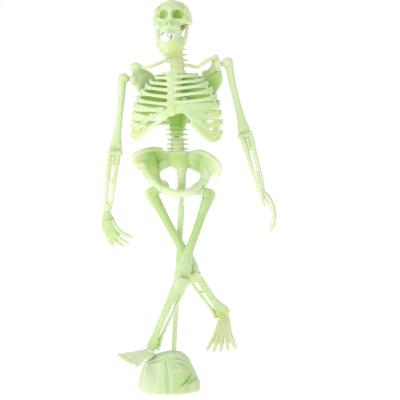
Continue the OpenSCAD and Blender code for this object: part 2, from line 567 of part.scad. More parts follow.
module forearm(q) difference() {
  union() {
    for (s = [-1, 1]) translate([s * (ear_in + elbow_ear / 2), 0, 0]) pin_x(elbow_ear, elbow_r - 0.3);
    ear = ear_in + elbow_ear / 2;
    loft([[q * ear, 0, 0, elbow_ear / 2, 2.6], [q * ear, 0, 7, 1.7, 2.4], [q * ear, 0, 16, 1.7, 1.9],
      [q * ear, 0, forearm_l * 0.55, 1.8, 1.8], [q * 3, 0, forearm_l - 12, 2.4, 2.2],
        [q * 1.6, 0, forearm_l, 2.8, 2.4]],
      [1, 0, 0], 8, 2);
    loft([[-q * ear, 0, 0, elbow_ear / 2, 3], [-q * ear, 0, 7, 1.9, 2.8], [-q * ear, 0, 18, 1.8, 2],
      [-q * 3.6, 0, forearm_l * 0.6, 1.6, 1.6], [-q * 3, 0, forearm_l - 10, 1.6, 1.6],
        [-q * 2.4, 0, forearm_l - 1, 2, 2]],
      [1, 0, 0], 8, 2);
    translate([0, 0, elbow_r + 5.6]) pin_x(2 * ear, 2);
    translate([0, 0, forearm_l * 0.46]) pin_x(2 * ear, 1.2);
    translate([0, 0, forearm_l - 9]) cylinder(h = 9, r = hand_peg_d / 2 + 1.7);
  }
  pin_x(elbow_w + 2, elbow_pin_d / 2);
  translate([0, 0, forearm_l - 7]) cylinder(h = 9, r = hand_peg_d / 2 + run);
  // room for the tongue to turn in
  pin_x(2 * ear_in, elbow_r + 0.5);
}
module forearm_right() color(bone) multmatrix(FORE_R) forearm(-1);
module forearm_left() color(bone) multmatrix(FORE_L) forearm(1);
module elbow_pin_right() color(pale) multmatrix(FORE_R) pin_x(elbow_w, elbow_pin_d / 2);
module elbow_pin_left() color(pale) multmatrix(FORE_L) pin_x(elbow_w, elbow_pin_d / 2);

// Hands, from the wrist: the right one lies open and fans its fingers toward the thigh, the left one hangs
// edge on and curves out and in again. Palm and thumb stations are [x, y, z, half width, half depth]; they
// are drawn for a hand of length hand_full.
hand_full = 46;
finger_r = [1.9, 1.75, 1.8, 1.55, 1.05];
palm_right = [[0.6, 0, 0, 3.4, 2.7], [0.6, 0, 4.2, 4.6, 2.9], [1, 0, 9.2, 5.6, 2.8],
  [2.6, 0, 14.2, 6.4, 2.5], [4.6, 0, 19, 6, 2]];
fingers_right = [[[5.4, 1.2, 8.2], [10.6, 2, 14.2], [16, 2, 18.6], [23, 1.4, 21.2], [28.6, 0.4, 22.8]],
  [[3.8, 0.6, 11.2], [8.6, 1, 19.2], [14, 1, 24.2], [20.4, 0.6, 27.2], [25.6, 0, 28.8]],
  [[2, -0.4, 13.2], [6, -0.2, 22.2], [11, -0.4, 27.6], [17, -0.8, 30.8], [22, -1.2, 32.4]],
  [[-0.4, -1.4, 13], [2, -1.6, 21.4], [5, -1.9, 27.4], [8, -2.2, 31.2], [10.8, -2.6, 33.2]]];
thumb_right = [[3.4, -1.6, 3.2, 1.9, 1.8], [6.4, -4, 8.2, 1.8, 1.7], [9.4, -5.4, 13.2, 1.6, 1.6],
  [12.4, -6, 18.6, 1.1, 1.1]];
palm_left = [[1.4, 0, 0.2, 3.2, 2.7], [1.4, 0, 2.2, 3.8, 2.8], [2.8, 0, 5.2, 5.2, 2.9],
  [4.4, 0, 9, 6.4, 2.9], [5.8, 0, 13.2, 6.8, 2.7]];
curve_left = [[5.2, 9.7], [6.8, 17.2], [6.2, 25.8], [3.2, 33.8], [-1.8, 40.6]];
finger_less = [0, -1.5, 0, 4];
fingers_left = [for (i = [0:3]) [for (k = [0:4])
  [curve_left[k][0] + 0.8 * i - 1.2, (1.5 - i) * (3.1 + 0.25 * k),
    curve_left[k][1] - finger_less[i] * k / 4]]];
thumb_left = [[0.4, 2.2, 2.6, 1.9, 1.8], [-1.4, 4.4, 7.2, 1.8, 1.7], [-2, 5.6, 12.6, 1.7, 1.6],
  [-1.4, 6, 17.6, 1.1, 1.1]];
function grown(p, k) = [p[0] * k, p[1] * k, p[2] * k, p[3], p[4]];
module hand(palm, w, fingers, thumb) {
  k = hand_l / hand_full;
  translate([0, 0, -6]) cylinder(h = 9, r = hand_peg_d / 2);
  loft([for (p = palm) grown(p, k)], w, 12, 2);
  for (f = fingers)
    loft([for (i = [0:4]) grown([each f[i], finger_r[i], finger_r[i]], k)], [0, 1, 0], 8, 2);
  loft([for (p = thumb) grown(p, k)], [0, 1, 0], 8, 2);
}
module hand_right() color(bone) multmatrix(FORE_R) translate([0, 0, forearm_l + 0.3])
  hand(palm_right, [1, 0, 0], fingers_right, thumb_right);
module hand_left() color(bone) multmatrix(FORE_L) translate([0, 0, forearm_l + 0.3])
  hand(palm_left, [0, 1, 0], fingers_left, thumb_left);

// Legs
knee_r = knee_d / 2;
slot_w = knee_tongue + 2 * gap;
tongue_r = knee_r - 1.4;
module thigh(q) difference() {
  union() {
    loft([[q * (hip_reach + 3), 0, -8, 3, 3], [q * (hip_reach + 1), 0, -3, 5.4, 4.8],
      [q * hip_reach, 0, 4, 5.6, 5],
      [q * (hip_reach - 2.5), 0, 14, 4.5, 4.3], [q * 5.4, 0, femur_l * 0.34, 4.1, 4],
        [q * 3, 0.4, femur_l * 0.55, 4, 4],
      [q * 0.8, 0, femur_l - 23, 4.8, 4.3], [0, 0, femur_l - 14, 6.4, 5.2],
        [0, 0, femur_l - 7, knee_w / 2 - 0.3, 5.7],
      [0, 0, femur_l - 2, knee_w / 2 - 0.4, 5.4]], [1, 0, 0], 12, 2);
    rotate([0, q * 90, 0]) translate([0, 0, hip_r + 2.2]) cylinder(h = hip_reach - hip_r - 1,
      r = hip_stem_d / 2 + 1.7);
    translate([0, 0, femur_l]) pin_x(knee_w, knee_r);
  }
  rotate([0, q * 90, 0]) cylinder(h = hip_in + 0.4, r = hip_stem_d / 2 + run);
  translate([0, 0, femur_l]) {
    pin_x(knee_w + 2, knee_pin_d / 2);
    pin_x(slot_w, tongue_r + 0.6);
    translate([-slot_w / 2, -10, 0]) cube([slot_w, 20, 12]);
    translate([-slot_w / 2, -10, -2]) cube([slot_w, 10, 12]);
  }
}
module thigh_right() color(bone) multmatrix(THIGH_R) thigh(-1);
module thigh_left() color(bone) multmatrix(THIGH_L) thigh(1);
module knee_pin_right() color(pale) multmatrix(SHIN_R) pin_x(knee_w, knee_pin_d / 2);
module knee_pin_left() color(pale) multmatrix(SHIN_L) pin_x(knee_w, knee_pin_d / 2);
shin_top = knee_r + gap;
ankle_r = foot_peg_d / 2 + 2.6;
module shin(q) difference() {
  union() {
    pin_x(knee_tongue, tongue_r);
    translate([-knee_tongue / 2, -3.4, 0]) cube([knee_tongue, 6.8, shin_top + 2]);
    loft([[0, 0, shin_top, knee_w / 2 - 0.2, 5.4], [0, 0, shin_top + 4, knee_w / 2 - 0.4, 5.2],
      [-q * 1.2, 0, shin_top + 10, 4.8, 4.4], [-q * 2, 0, shin_top + 22, 3.3, 3.4],
        [-q * 2, 0, shin_l * 0.62, 3, 3],
      [-q * 1.2, 0, shin_l - 14, 3.3, 3.2], [-q * 0.6, 0, shin_l - 5, 4.8, 4.2],
        [-q * 0.4, 0, shin_l - 0.2, 4.8, 4.2]],
      [1, 0, 0], 10, 2);
    loft([[q * 5.4, -0.6, shin_top + 3, 2, 2], [q * 5.8, -1, shin_top + 11, 1.7, 1.7],
      [q * 5.2, -0.6, shin_l * 0.55, 1.5, 1.5],
      [q * 4.6, -0.4, shin_l - 14, 1.6, 1.6], [q * 5, 0, shin_l - 4, 2, 2.2],
        [q * 5.4, 0, shin_l - 0.2, 1.7, 2]],
      [1, 0, 0], 8, 2);
    translate([q * 1.4, 0, shin_l * 0.34]) pin_x(7, 1.1);
    translate([0, 0, shin_l - 10]) cylinder(h = 10, r = ankle_r);
  }
  pin_x(knee_tongue + 2, knee_pin_d / 2 + run);
  translate([0, 0, shin_l - 8]) cylinder(h = 10, r = foot_peg_d / 2 + run);
}
module shin_right() color(bone) multmatrix(SHIN_R) shin(-1);
module shin_left() color(bone) multmatrix(SHIN_L) shin(1);

// Feet: heel, ankle block and five rays to the toes, big toe inside; the peg turns in the shin
toe_short = [1.5, 0, 0.5, 2.5, 6];
module foot(q) {
  translate([0, 0, -7]) cylinder(h = 9, r = foot_peg_d / 2);
  translate([0, 0, 0.4]) cylinder(h = 3, r = ankle_r - 0.2);
  rotate([-foot_lift, 0, 0]) {
    loft([[0, 0, 1.4, 3.6, 3.6], [0, -1.5, 6, 4.4, 5.2], [0, -6, foot_h - 3, 4.2, 5],
      [0, -8, foot_h, 3, 4]],
      [1, 0, 0], 10, 2);
    for (i = [0:4]) {
      x = q * (i - 2) * toe_pitch;
      y = foot_l - toe_short[i];
      r = i == 0 ? 1.9 : 1.5;
      loft([[x * 0.26, 1, 5.5, 2.2, 2.6], [x * 0.42, y * 0.34, foot_h - 5.4, r, r + 0.5],
        [x * 0.68, y * 0.66, foot_h - 2.4, r, r], [x * 0.94, y * 0.9, foot_h - 1.2, r * 0.95, r * 0.9],
        [x, y, foot_h - 0.8, r * 0.6, r * 0.6]], [1, 0, 0], 8, 2);
    }
  }
}
module foot_right() color(bone) multmatrix(FOOT_R) foot(-1);
module foot_left() color(bone) multmatrix(FOOT_L) foot(1);

// Skull: an egg-shaped brain case in two halves, with the face,
// cheek arches and jaw hinges on the front one
module brain(inset) {
  w = skull_w / 2 - inset;
  d = skull_d / 2 - inset;
  s = [for (a = [-64:16:80]) [0, -1.5 + 1.2 * sin(a), 20 + (16.5 - inset) * sin(a),
    w * cos(a) * (1 + 0.06 * sin(a)), d * cos(a)]];
  loft(s, [1, 0, 0], 16);
}
seam_y = 3;
module face_mass() {
  // brow, cheeks and upper jaw as one mass from the brow down
  loft([[0, -9, 24, 12.5, 9.5], [0, -11, 17, 13.6, 10.4], [0, -11.5, 9, 11.6, 10], [0, -12, 1, 8.8, 8.8],
    [0, -12.5, -5, 7.4, 7.6], [0, -13, -8.4, 5.6, 6.4]], [1, 0, 0], 14, 2);
  for (q = [-1, 1]) loft(flip([[9, -17, 8, 2.6, 2.6], [14.5, -12, 9.5, 2.2, 1.8],
    [jaw_x + 3, -6, 12, 2.2, 1.6],
    [jaw_x + 3.4, jaw_y + 1, jaw_z, 2.6, 1.6]], q), [0, 0, 1], 8, 2);
  for (q = [-1, 1]) translate([q * (jaw_x + 3.4), jaw_y, jaw_z]) pin_x(3.2, jaw_pin_d / 2 + 1.9);
  for (q = [-1, 1]) loft(flip([[skull_w / 2 - 2.6, 0, 20, 2.4, 3], [jaw_x + 2.8, jaw_y + 0.6, 18, 2, 2.4],
    [jaw_x + 3.4, jaw_y, jaw_z + 1, 1.6, 2.4]], q), [1, 0, 0], 8);
}
module head_half(front) intersection() {
  children();
  translate([-40, front ? -60 : seam_y, -40]) cube([80, front ? 60 + seam_y : 60, 100]);
}
module skull_face() color(bone) multmatrix(HD) difference() {
  head_half(true) difference() {
    union() {
      brain(0);
      face_mass();
      translate([0, 1, 0]) cylinder(h = 12, r = 8.4);
    }
    difference() {
      brain(skull_wall);
      translate([-30, -60, -10]) cube([60, 52, 60]);
      translate([-30, -20, -10]) cube([60, 60, 20]);
    }
  }
  for (q = [-1, 1]) {
    translate([q * 7, -22.4, 15.5]) sphere(r = 5.2);
    translate([q * (jaw_x + 3.4), jaw_y, jaw_z]) pin_x(6, jaw_pin_d / 2 + run);
    // room for the jaw's upright arms
    translate([q > 0 ? jaw_x - 1.7 : -jaw_x - 1.7, jaw_y - 9, -12]) cube([3.4, 17, 29.6]);
    translate([q * 1.7, -23.6, 3.4]) rotate([0, q * 14, 0]) cylinder(h = 6, r1 = 1.7, r2 = 0.6,
      center = true);
  }
  multmatrix(HD_BACK) translate(-HEAD_OFF) multmatrix(frame([0, 0, 0], neck_dir, [1, 0, 0])) {
    translate([0, 0, -30]) cylinder(h = 37.4, r = spine_peg_d / 2 + run);
    translate([0, 0, -40]) cylinder(h = 40.2, r = neck_r + 2.4);
  }
}
HD_BACK = [for (i = [0:3]) [for (j = [0:3]) i < 3 && j < 3 ? HD[j][i] : i == j ? 1 : 0]];
HEAD_OFF = [-0.8, 0, 1.5];
module skull_back() color(bone) multmatrix(HD) head_half(false) difference() {
  union() {
    brain(0);
    translate([0, 1, 2]) cylinder(h = 12, r = 8.4);
  }
  difference() {
    brain(skull_wall);
    translate([-30, -20, -10]) cube([60, 60, 20]);
  }
}

// Jaw: one bent band from hinge to hinge with its pins pointing outward
module jaw() color(bone) multmatrix(HD) {
  half = [[jaw_x, jaw_y, jaw_z + 1.6, 2.2, 1.2], [jaw_x, jaw_y - 0.4, jaw_z - 4, 3.2, 1.2],
    [jaw_x - 0.3, jaw_y - 1.6, 0, 4.2, 1.3],
    [jaw_x - 1.2, -6.5, -10, 5.6, 1.6], [jaw_x - 4.4, -14, -14.5, 5.6, 1.8],
      [jaw_x - 9, -21, -16, 6.2, 2], [2.4, -24, -16, 6.6, 2.2]];
  far = [for (i = [len(half) - 1:-1:0]) [-half[i][0], half[i][1], half[i][2], half[i][3], half[i][4]]];
  whole = concat(half, far);
  band(fine(whole, 2), 8);
  for (q = [-1, 1]) translate([q * jaw_x, jaw_y, jaw_z]) rotate([0, q * 90, 0]) cylinder(h = 4.6,
    r = jaw_pin_d / 2);
}
// A band whose width turns with the path: across it on the uprights, upright at the chin
module band(s, n) {
  m = len(s);
  p = [for (i = [0:m - 1]) let (t = unit(mid(knot(s, i + 1)) - mid(knot(s, i - 1))),
    w = abs(t.z) > 0.55 ? unit([0, -1, -0.25]) : unit([0, -0.3, -1])) each ring(s[i], t, w, n)];
  f = concat([[for (j = [0:n - 1]) j]],
    [for (i = [0:m - 2], j = [0:n - 1]) let (a = i * n + j, b = i * n + (j + 1) % n)
      each [[a, b + n, b], [a, a + n, b + n]]],
    [[for (j = [n - 1:-1:0]) (m - 1) * n + j]]);
  polyhedron(p, f, convexity = 6);
}

rock_base();
base_plate();
support_rod();
rod_pin();
pelvis();
lumbar_spine();
chest_spine();
ribs_back_right();
ribs_back_left();
ribs_front();
neck();
skull_face();
skull_back();
jaw();
collarbone_right();
collarbone_left();
shoulder_blade_right();
shoulder_blade_left();
shoulder_peg_right();
shoulder_peg_left();
upper_arm_right();
upper_arm_left();
forearm_right();
forearm_left();
elbow_pin_right();
elbow_pin_left();
hand_right();
hand_left();
hip_peg_right();
hip_peg_left();
thigh_right();
thigh_left();
knee_pin_right();
knee_pin_left();
shin_right();
shin_left();
foot_right();
foot_left();
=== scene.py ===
# %% [markdown]
# # A jointed skeleton figure on a rock stand
# The figure is moulded in pale green glow plastic: some forty pieces snapped together with ball pegs and
# pins, legs crossed, carried by a slim rod that stands in a rock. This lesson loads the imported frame, so
# that every bone goes where its joint is, and then models each bone as one smooth moulding.

# %% Load the frame
import bmesh
import bpy
import json
import math
import numpy as np
from mathutils import Euler, Matrix, Vector
from mathutils.bvhtree import BVHTree


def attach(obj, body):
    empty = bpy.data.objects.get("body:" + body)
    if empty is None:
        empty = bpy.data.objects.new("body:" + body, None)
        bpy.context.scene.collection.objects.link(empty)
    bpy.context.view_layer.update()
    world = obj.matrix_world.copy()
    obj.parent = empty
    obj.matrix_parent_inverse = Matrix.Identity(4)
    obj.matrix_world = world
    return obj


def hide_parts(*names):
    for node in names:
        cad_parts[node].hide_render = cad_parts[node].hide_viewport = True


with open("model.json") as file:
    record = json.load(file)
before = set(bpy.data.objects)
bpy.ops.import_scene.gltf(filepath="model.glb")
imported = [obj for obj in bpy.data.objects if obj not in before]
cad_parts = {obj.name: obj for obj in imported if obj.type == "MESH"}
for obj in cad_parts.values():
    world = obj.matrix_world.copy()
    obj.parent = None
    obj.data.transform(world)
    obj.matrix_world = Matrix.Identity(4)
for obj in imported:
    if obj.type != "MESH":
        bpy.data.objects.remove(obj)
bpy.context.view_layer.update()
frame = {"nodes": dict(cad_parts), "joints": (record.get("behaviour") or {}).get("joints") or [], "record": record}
joints = {joint["name"]: joint for joint in frame["joints"]}
MM = 0.001

# %% [markdown]
# ## Camera
# The view is from the front at waist height, a little to the figure's left, from under a metre away. A
# camera without perspective would be simpler, but at that distance the feet are seen slightly from above
# and the skull slightly from below, so a long lens is used.

# %% Camera
CAMERA_PLACE = (0.0302, -0.9, 0.230)
CAMERA_DOWN = 2.82
LENS_MM, FILM_MM = 83.2, 36
scene = bpy.context.scene
camera_data = bpy.data.cameras.new("Camera")
camera_data.lens = LENS_MM
camera_data.sensor_width = FILM_MM
camera = bpy.data.objects.new("Camera", camera_data)
camera.location = CAMERA_PLACE
camera.rotation_euler = (math.radians(90 - CAMERA_DOWN), 0, 0)
scene.collection.objects.link(camera)
scene.camera = camera
print("camera", CAMERA_PLACE, "lens", LENS_MM)

# %% [markdown]
# ## Light, floor and background
# Colours are written as hex codes, the way a paint program shows them, and turned into linear light by one
# function. One function adds every shader node. A pattern's scale is worked out from the real size of its
# grain.

# %% Colour and node helpers
def linear(code):
    """The scene-linear colour of a written sRGB hex code."""
    parts = [int(code[i:i + 2], 16) / 255 for i in (1, 3, 5)]
    return [p / 12.92 if p <= 0.04045 else ((p + 0.055) / 1.055) ** 2.4 for p in parts] + [1]


def add(tree, kind, links=None, **settings):
    """Adds one shader node, sets its settings, and links or sets its inputs."""
    node = tree.nodes.new(kind)
    for key, value in settings.items():
        setattr(node, key, value)
    for socket, source in (links or {}).items():
        if isinstance(source, bpy.types.NodeSocket):
            tree.links.new(source, node.inputs[socket])
        else:
            node.inputs[socket].default_value = source
    return node


def per_metre(size_mm):
    """The texture scale whose pattern has this size."""
    return 1 / (size_mm * MM)

# %% [markdown]
# A pale plastic on white needs soft light from all around. A ring of lamps could give it, but a plain
# white world is simpler: it is full white where it is seen or mirrored, and dimmer where it lights the
# figure.

# %% Sky
SKY_LEVEL = 0.60
scene.view_settings.view_transform = "Standard"
world = bpy.data.worlds.new("Studio")
scene.world = world
world.use_nodes = True
tree = world.node_tree
tree.nodes.clear()
path = add(tree, "ShaderNodeLightPath")
seen = add(tree, "ShaderNodeMath", {0: path.outputs["Is Camera Ray"], 1: path.outputs["Is Glossy Ray"]},
           operation="MAXIMUM")
seen = add(tree, "ShaderNodeMath", {0: seen.outputs[0], 1: path.outputs["Is Transmission Ray"]},
           operation="MAXIMUM")
level = add(tree, "ShaderNodeMapRange", {"Value": seen.outputs[0], "To Min": SKY_LEVEL, "To Max": 1.0})
sky = add(tree, "ShaderNodeBackground", {"Color": linear("#FFFFFF"), "Strength": level.outputs[0]})
add(tree, "ShaderNodeOutputWorld", {"Surface": sky.outputs[0]})
print("sky level on the object", SKY_LEVEL)

# %% [markdown]
# One broad lamp at the viewer's left lets the other flanks fall a little darker, and a weak one opens the
# shadows. Small lamps would draw hard edges, which a milky plastic doesn't show.

# %% Lamps
AIM = Vector((0.02, 0, 0.2))


def lamp(name, place, size, watts):
    """A square lamp, turned to the middle of the figure."""
    data = bpy.data.lights.new(name, "AREA")
    data.size = size
    data.energy = watts
    obj = bpy.data.objects.new(name, data)
    obj.location = place
    obj.rotation_euler = (AIM - Vector(place)).to_track_quat("-Z", "Y").to_euler()
    scene.collection.objects.link(obj)


lamp("Key", (-0.75, -0.75, 0.75), 0.6, 4.4)
lamp("Fill", (0.9, -0.8, 0.3), 0.9, 1.0)
print("lamps", [light.name for light in bpy.data.lights])

# %% [markdown]
# The floor is a wide sheet of white paper under the rock. Without it the rock would float: the sheet takes
# its soft shadow, and a little light of its own lets the sheet run into the background.

# %% Floor
FLOOR_HALF, FLOOR_DROP, PAPER_MM = 3, 0.0002, 1.1111
floor_mesh = bpy.data.meshes.new("Floor")
floor_bm = bmesh.new()
bmesh.ops.create_grid(floor_bm, x_segments=1, y_segments=1, size=FLOOR_HALF)
floor_bm.to_mesh(floor_mesh)
floor_bm.free()
floor = bpy.data.objects.new("Floor", floor_mesh)
floor.location.z = -FLOOR_DROP
scene.collection.objects.link(floor)
paper = bpy.data.materials.new("white_paper")
paper.use_nodes = True
tree = paper.node_tree
tree.nodes.clear()
where = add(tree, "ShaderNodeTexCoord")
grain = add(tree, "ShaderNodeTexNoise", {"Vector": where.outputs["Object"], "Scale": per_metre(PAPER_MM)})
tone = add(tree, "ShaderNodeMapRange", {"Value": grain.outputs["Fac"], "To Min": 0.97, "To Max": 1.0})
diffuse = add(tree, "ShaderNodeBsdfDiffuse", {"Color": tone.outputs[0]})
glow = add(tree, "ShaderNodeEmission", {"Color": linear("#FFFFFF"), "Strength": 0.5})
both = add(tree, "ShaderNodeAddShader", {0: diffuse.outputs[0], 1: glow.outputs[0]})
add(tree, "ShaderNodeOutputMaterial", {"Surface": both.outputs[0]})
floor_mesh.materials.append(paper)
print("floor half width", FLOOR_HALF)

# %% [markdown]
# ## Glow plastic
# Plastic with a glow pigment is milky: light enters, scatters and comes out again tinted green. Thin edges
# look nearly white, broad faces mint, and hollows, where light has passed through more plastic, a strong
# yellow green. Scattering alone leaves hollows too grey, so shade is painted into the colour too: a value
# on each vertex, which says how deep that point lies below its surroundings, moves the colour from a pale
# painted light on edges to a deep green painted shade in hollows. Broad soft clouds stand for uneven pigment.

# %% Glow plastic
CLOUD_MM, PATCH_MM, SATIN_MM, DENT_MM = 26.316, 41.667, 1.1111, 3.8462


def glow_plastic(name, pale, mid, deep, yellow, rough):
    """Milky moulded plastic: painted light on edges, painted shade deep green in hollows, yellower in pools, with
    a satin skin.
    """
    material = bpy.data.materials.new(name)
    material.use_nodes = True
    tree = material.node_tree
    tree.nodes.clear()
    where = add(tree, "ShaderNodeTexCoord").outputs["Object"]
    # Painted shade: how hollow the place is, with clouds of uneven pigment, picks the green, pale on edges, deep
    # in hollows
    hollow = add(tree, "ShaderNodeAttribute", attribute_name="hollow")
    pool = add(tree, "ShaderNodeAttribute", attribute_name="yellow")
    cloud = add(tree, "ShaderNodeTexNoise", {"Vector": where, "Scale": per_metre(CLOUD_MM), "Detail": 2.0})
    drift = add(tree, "ShaderNodeMath", {0: cloud.outputs["Fac"], 1: 0.3, 2: -0.15},
                operation="MULTIPLY_ADD")
    shade_and_cloud = add(tree, "ShaderNodeMath", {0: hollow.outputs["Fac"], 1: drift.outputs[0]}, operation="ADD")
    scale = add(tree, "ShaderNodeValToRGB", {"Fac": shade_and_cloud.outputs[0]})
    ramp = scale.color_ramp
    for place, code in ((0.14, pale), (0.5, mid), (0.9, deep)):
        stop = ramp.elements.new(place)
        stop.color = linear(code)
    ramp.elements.remove(ramp.elements[0])
    ramp.elements.remove(ramp.elements[-1])
    # Broad patches and the pools turn it yellower
    patch = add(tree, "ShaderNodeTexNoise", {"Vector": where, "Scale": per_metre(PATCH_MM), "Detail": 1.0})
    share = add(tree, "ShaderNodeMapRange", {"Value": patch.outputs["Fac"], "From Min": 0.48,
                                             "From Max": 0.75, "To Min": 0.0, "To Max": 0.2})
    lime = add(tree, "ShaderNodeMath", {0: share.outputs[0], 1: pool.outputs["Fac"]}, operation="ADD",
               use_clamp=True)
    colour = add(tree, "ShaderNodeMix", {"Factor": lime.outputs[0]}, data_type="RGBA")
    inputs = [s for s in colour.inputs if s.type == "RGBA"]
    tree.links.new(scale.outputs["Color"], inputs[0])
    inputs[1].default_value = linear(yellow)
    mixed = next(s for s in colour.outputs if s.type == "RGBA")
    # A satin skin with faint dents, as a worn mould leaves it
    fine = add(tree, "ShaderNodeTexNoise", {"Vector": where, "Scale": per_metre(SATIN_MM), "Detail": 2.0})
    satin = add(tree, "ShaderNodeMapRange", {"Value": fine.outputs["Fac"], "To Min": rough - 0.06,
                                             "To Max": rough + 0.06})
    dents = add(tree, "ShaderNodeTexNoise", {"Vector": where, "Scale": per_metre(DENT_MM), "Detail": 2.0})
    bump = add(tree, "ShaderNodeBump", {"Height": dents.outputs["Fac"], "Strength": 0.08,
                                        "Distance": 0.0006})
    bsdf = add(tree, "ShaderNodeBsdfPrincipled", {
        "Base Color": mixed, "Roughness": satin.outputs[0], "IOR": 1.49, "Normal": bump.outputs[0],
        "Subsurface Weight": 0.5, "Subsurface Radius": (1.0, 1.3, 0.5), "Subsurface Scale": 0.003})
    add(tree, "ShaderNodeOutputMaterial", {"Surface": bsdf.outputs[0]})
    return material

# %% [markdown]
# Three mixes are enough: the bones, the paler neck and collarbones, and the stand. Each goes by its slot's
# name, and the plain nodes of the frame get them too, so that nothing shows without its finish.

# %% Finishes
# Each mix: pale is painted light on edges, mid the broad faces, deep the painted shade in hollows, then a yellow
# tint
bone_plastic = glow_plastic("bone_glow_plastic", "#EAF1DA", "#CBE0AA", "#94C34A", "#D8E080", 0.46)
pale_plastic = glow_plastic("pale_glow_plastic", "#ECF4CE", "#E0ECB4", "#B4D66C", "#E4EB9C", 0.46)
stand_plastic = glow_plastic("stand_glow_plastic", "#E8F0D8", "#CBE0AC", "#94C34A", "#D2E08A", 0.44)
finishes = {"bone": bone_plastic, "pale_bone": pale_plastic, "pin": bone_plastic, "stand": stand_plastic,
            "plate": stand_plastic}
for subpart in frame["record"]["subparts"]:
    cad = frame["nodes"][subpart["node"]]
    cad.data.materials.clear()
    cad.data.materials.append(finishes[subpart["material_slot"]])
print("materials", [m.name for m in bpy.data.materials])

# %% [markdown]
# ## Clay tools
# A bone is a swollen rod with knobs. It could be modelled from boxes, but the quickest way to one smooth
# skin is a sculptor's: put overlapping lumps of clay together and smooth them into one. Every lump is
# given in millimetres in the frame of its bone.

# %% Bone frame
def frame_at(origin, z, x):
    """A bone's frame in millimetres: z along the bone, x as near to x as that allows."""
    c = Vector(z).normalized()
    b = c.cross(Vector(x)).normalized()
    turn = Matrix((b.cross(c), b, c)).transposed().to_4x4()
    turn.translation = Vector(origin)
    return turn @ Matrix.Scale(MM, 4)

# %% [markdown]
# `tube` makes most lumps. It sweeps an oval ring along a smooth path by extruding its cap again and again,
# so width and thickness can change on the way.

# %% Sweep
def between(a, b, c, d, t):
    """A smooth curve through b and c, at t from 0 to 1; a and d are the points beside them."""
    spot = []
    for p, q, r, s in zip(a, b, c, d):
        square = 2 * p - 5 * q + 4 * r - s
        cube = 3 * q - p - 3 * r + s
        spot.append(0.5 * (2 * q + (r - p) * t + square * t * t + cube * t ** 3))
    return spot


def eased(stations, steps):
    """The stations with smooth in-between ones."""
    last = len(stations) - 1
    path = []
    for i in range(last):
        ring = [stations[min(max(i + k, 0), last)] for k in (-1, 0, 1, 2)]
        path += [between(*ring, j / steps) for j in range(steps)]
    return path + [list(stations[-1])]


def tube(clay, place, stations, across=(1, 0, 0), sides=14, steps=3):
    """Sweeps an oval along stations of (x, y, z, half width, half thickness); the width lies along across.

    Stations of four numbers are round."""
    path = eased(stations, steps)
    rings = []
    for i, spot in enumerate(path):
        ahead = Vector(path[min(i + 1, len(path) - 1)][:3])
        behind = Vector(path[max(i - 1, 0)][:3])
        t = (ahead - behind).normalized()
        u = (Vector(across) - t * Vector(across).dot(t)).normalized()
        ring = Matrix((u * spot[3], t.cross(u) * spot[-1], t)).transposed().to_4x4()
        ring.translation = Vector(spot[:3])
        rings.append(place @ ring)
    made = bmesh.ops.create_circle(clay, cap_ends=True, segments=sides, radius=1, matrix=rings[0])
    cap = made["verts"][0].link_faces[0]
    for before, after in zip(rings, rings[1:]):
        grown = bmesh.ops.extrude_face_region(clay, geom=[cap])["geom"]
        verts = [g for g in grown if isinstance(g, bmesh.types.BMVert)]
        bmesh.ops.transform(clay, matrix=after @ before.inverted(), verts=verts)
        cap = next(g for g in grown if isinstance(g, bmesh.types.BMFace))

# %% [markdown]
# `ball` places an ellipsoid, `slab` a block and `rod` a plain bar. The same lumps also serve as tools that
# cut sockets, slots and holes.

# %% Lumps
BAR_SIDES = 24


def ball(clay, place, centre, radii, turn=(0, 0, 0)):
    """An ellipsoid of clay, turned by degrees about its own axes."""
    spin = Euler([math.radians(a) for a in turn]).to_matrix().to_4x4()
    shape = place @ Matrix.Translation(centre) @ spin @ Matrix.Diagonal((*radii, 1))
    bmesh.ops.create_icosphere(clay, subdivisions=3, radius=1, matrix=shape)


def slab(clay, place, low, high):
    """A block between two corners."""
    centre = (Vector(low) + Vector(high)) / 2
    size = Vector(high) - Vector(low)
    shape = place @ Matrix.Translation(centre) @ Matrix.Diagonal((*size, 1))
    bmesh.ops.create_cube(clay, size=1, matrix=shape)


def rod(clay, place, a, b, radius):
    """A plain round bar from a to b."""
    way = Vector(b) - Vector(a)
    side = (0, 1, 0) if abs(way.normalized().x) > 0.9 else (1, 0, 0)
    tube(clay, place, [(*a, radius), (*b, radius)], side, BAR_SIDES, 1)

# %% [markdown]
# `shell` makes an object from the clay, and `skin` gives the overlapping lumps one skin with a voxel
# remesh. Joining the lumps by Boolean would keep hard creases between them.

# %% Skin
def shell(name, clay):
    """An object with the clay's mesh."""
    mesh = bpy.data.meshes.new(name)
    bmesh.ops.recalc_face_normals(clay, faces=clay.faces)
    clay.to_mesh(mesh)
    clay.free()
    obj = bpy.data.objects.new(name, mesh)
    scene.collection.objects.link(obj)
    return obj


def skin(obj, voxel):
    """Gives overlapping lumps one skin of squares, voxel millimetres wide."""
    step = obj.modifiers.new("Skin", "REMESH")
    step.mode = "VOXEL"
    step.voxel_size = voxel * MM

# %% [markdown]
# The painted shade is measured on the finished skin: the skin is relaxed many times over, and where a
# point sinks below its relaxed place it lies in a hollow and is painted deeper; where it stands out, paler.
# Pools are soft round spots of painted shade (deeper), painted light (paler, as where light comes through a
# thin wall) or yellow tint, where the shape alone doesn't give the colour.

# %% Painted shade in hollows
def vectors(mesh, key):
    """The vertices' places or normals as an array."""
    data = np.empty(len(mesh.vertices) * 3)
    mesh.vertices.foreach_get(key, data)
    return data.reshape(-1, 3)


def store(mesh, key, values):
    """Keeps one number from 0 to 1 on each vertex."""
    layer = mesh.attributes.new(key, "FLOAT", "POINT")
    layer.data.foreach_set("value", np.clip(values, 0, 1).astype(np.float32))


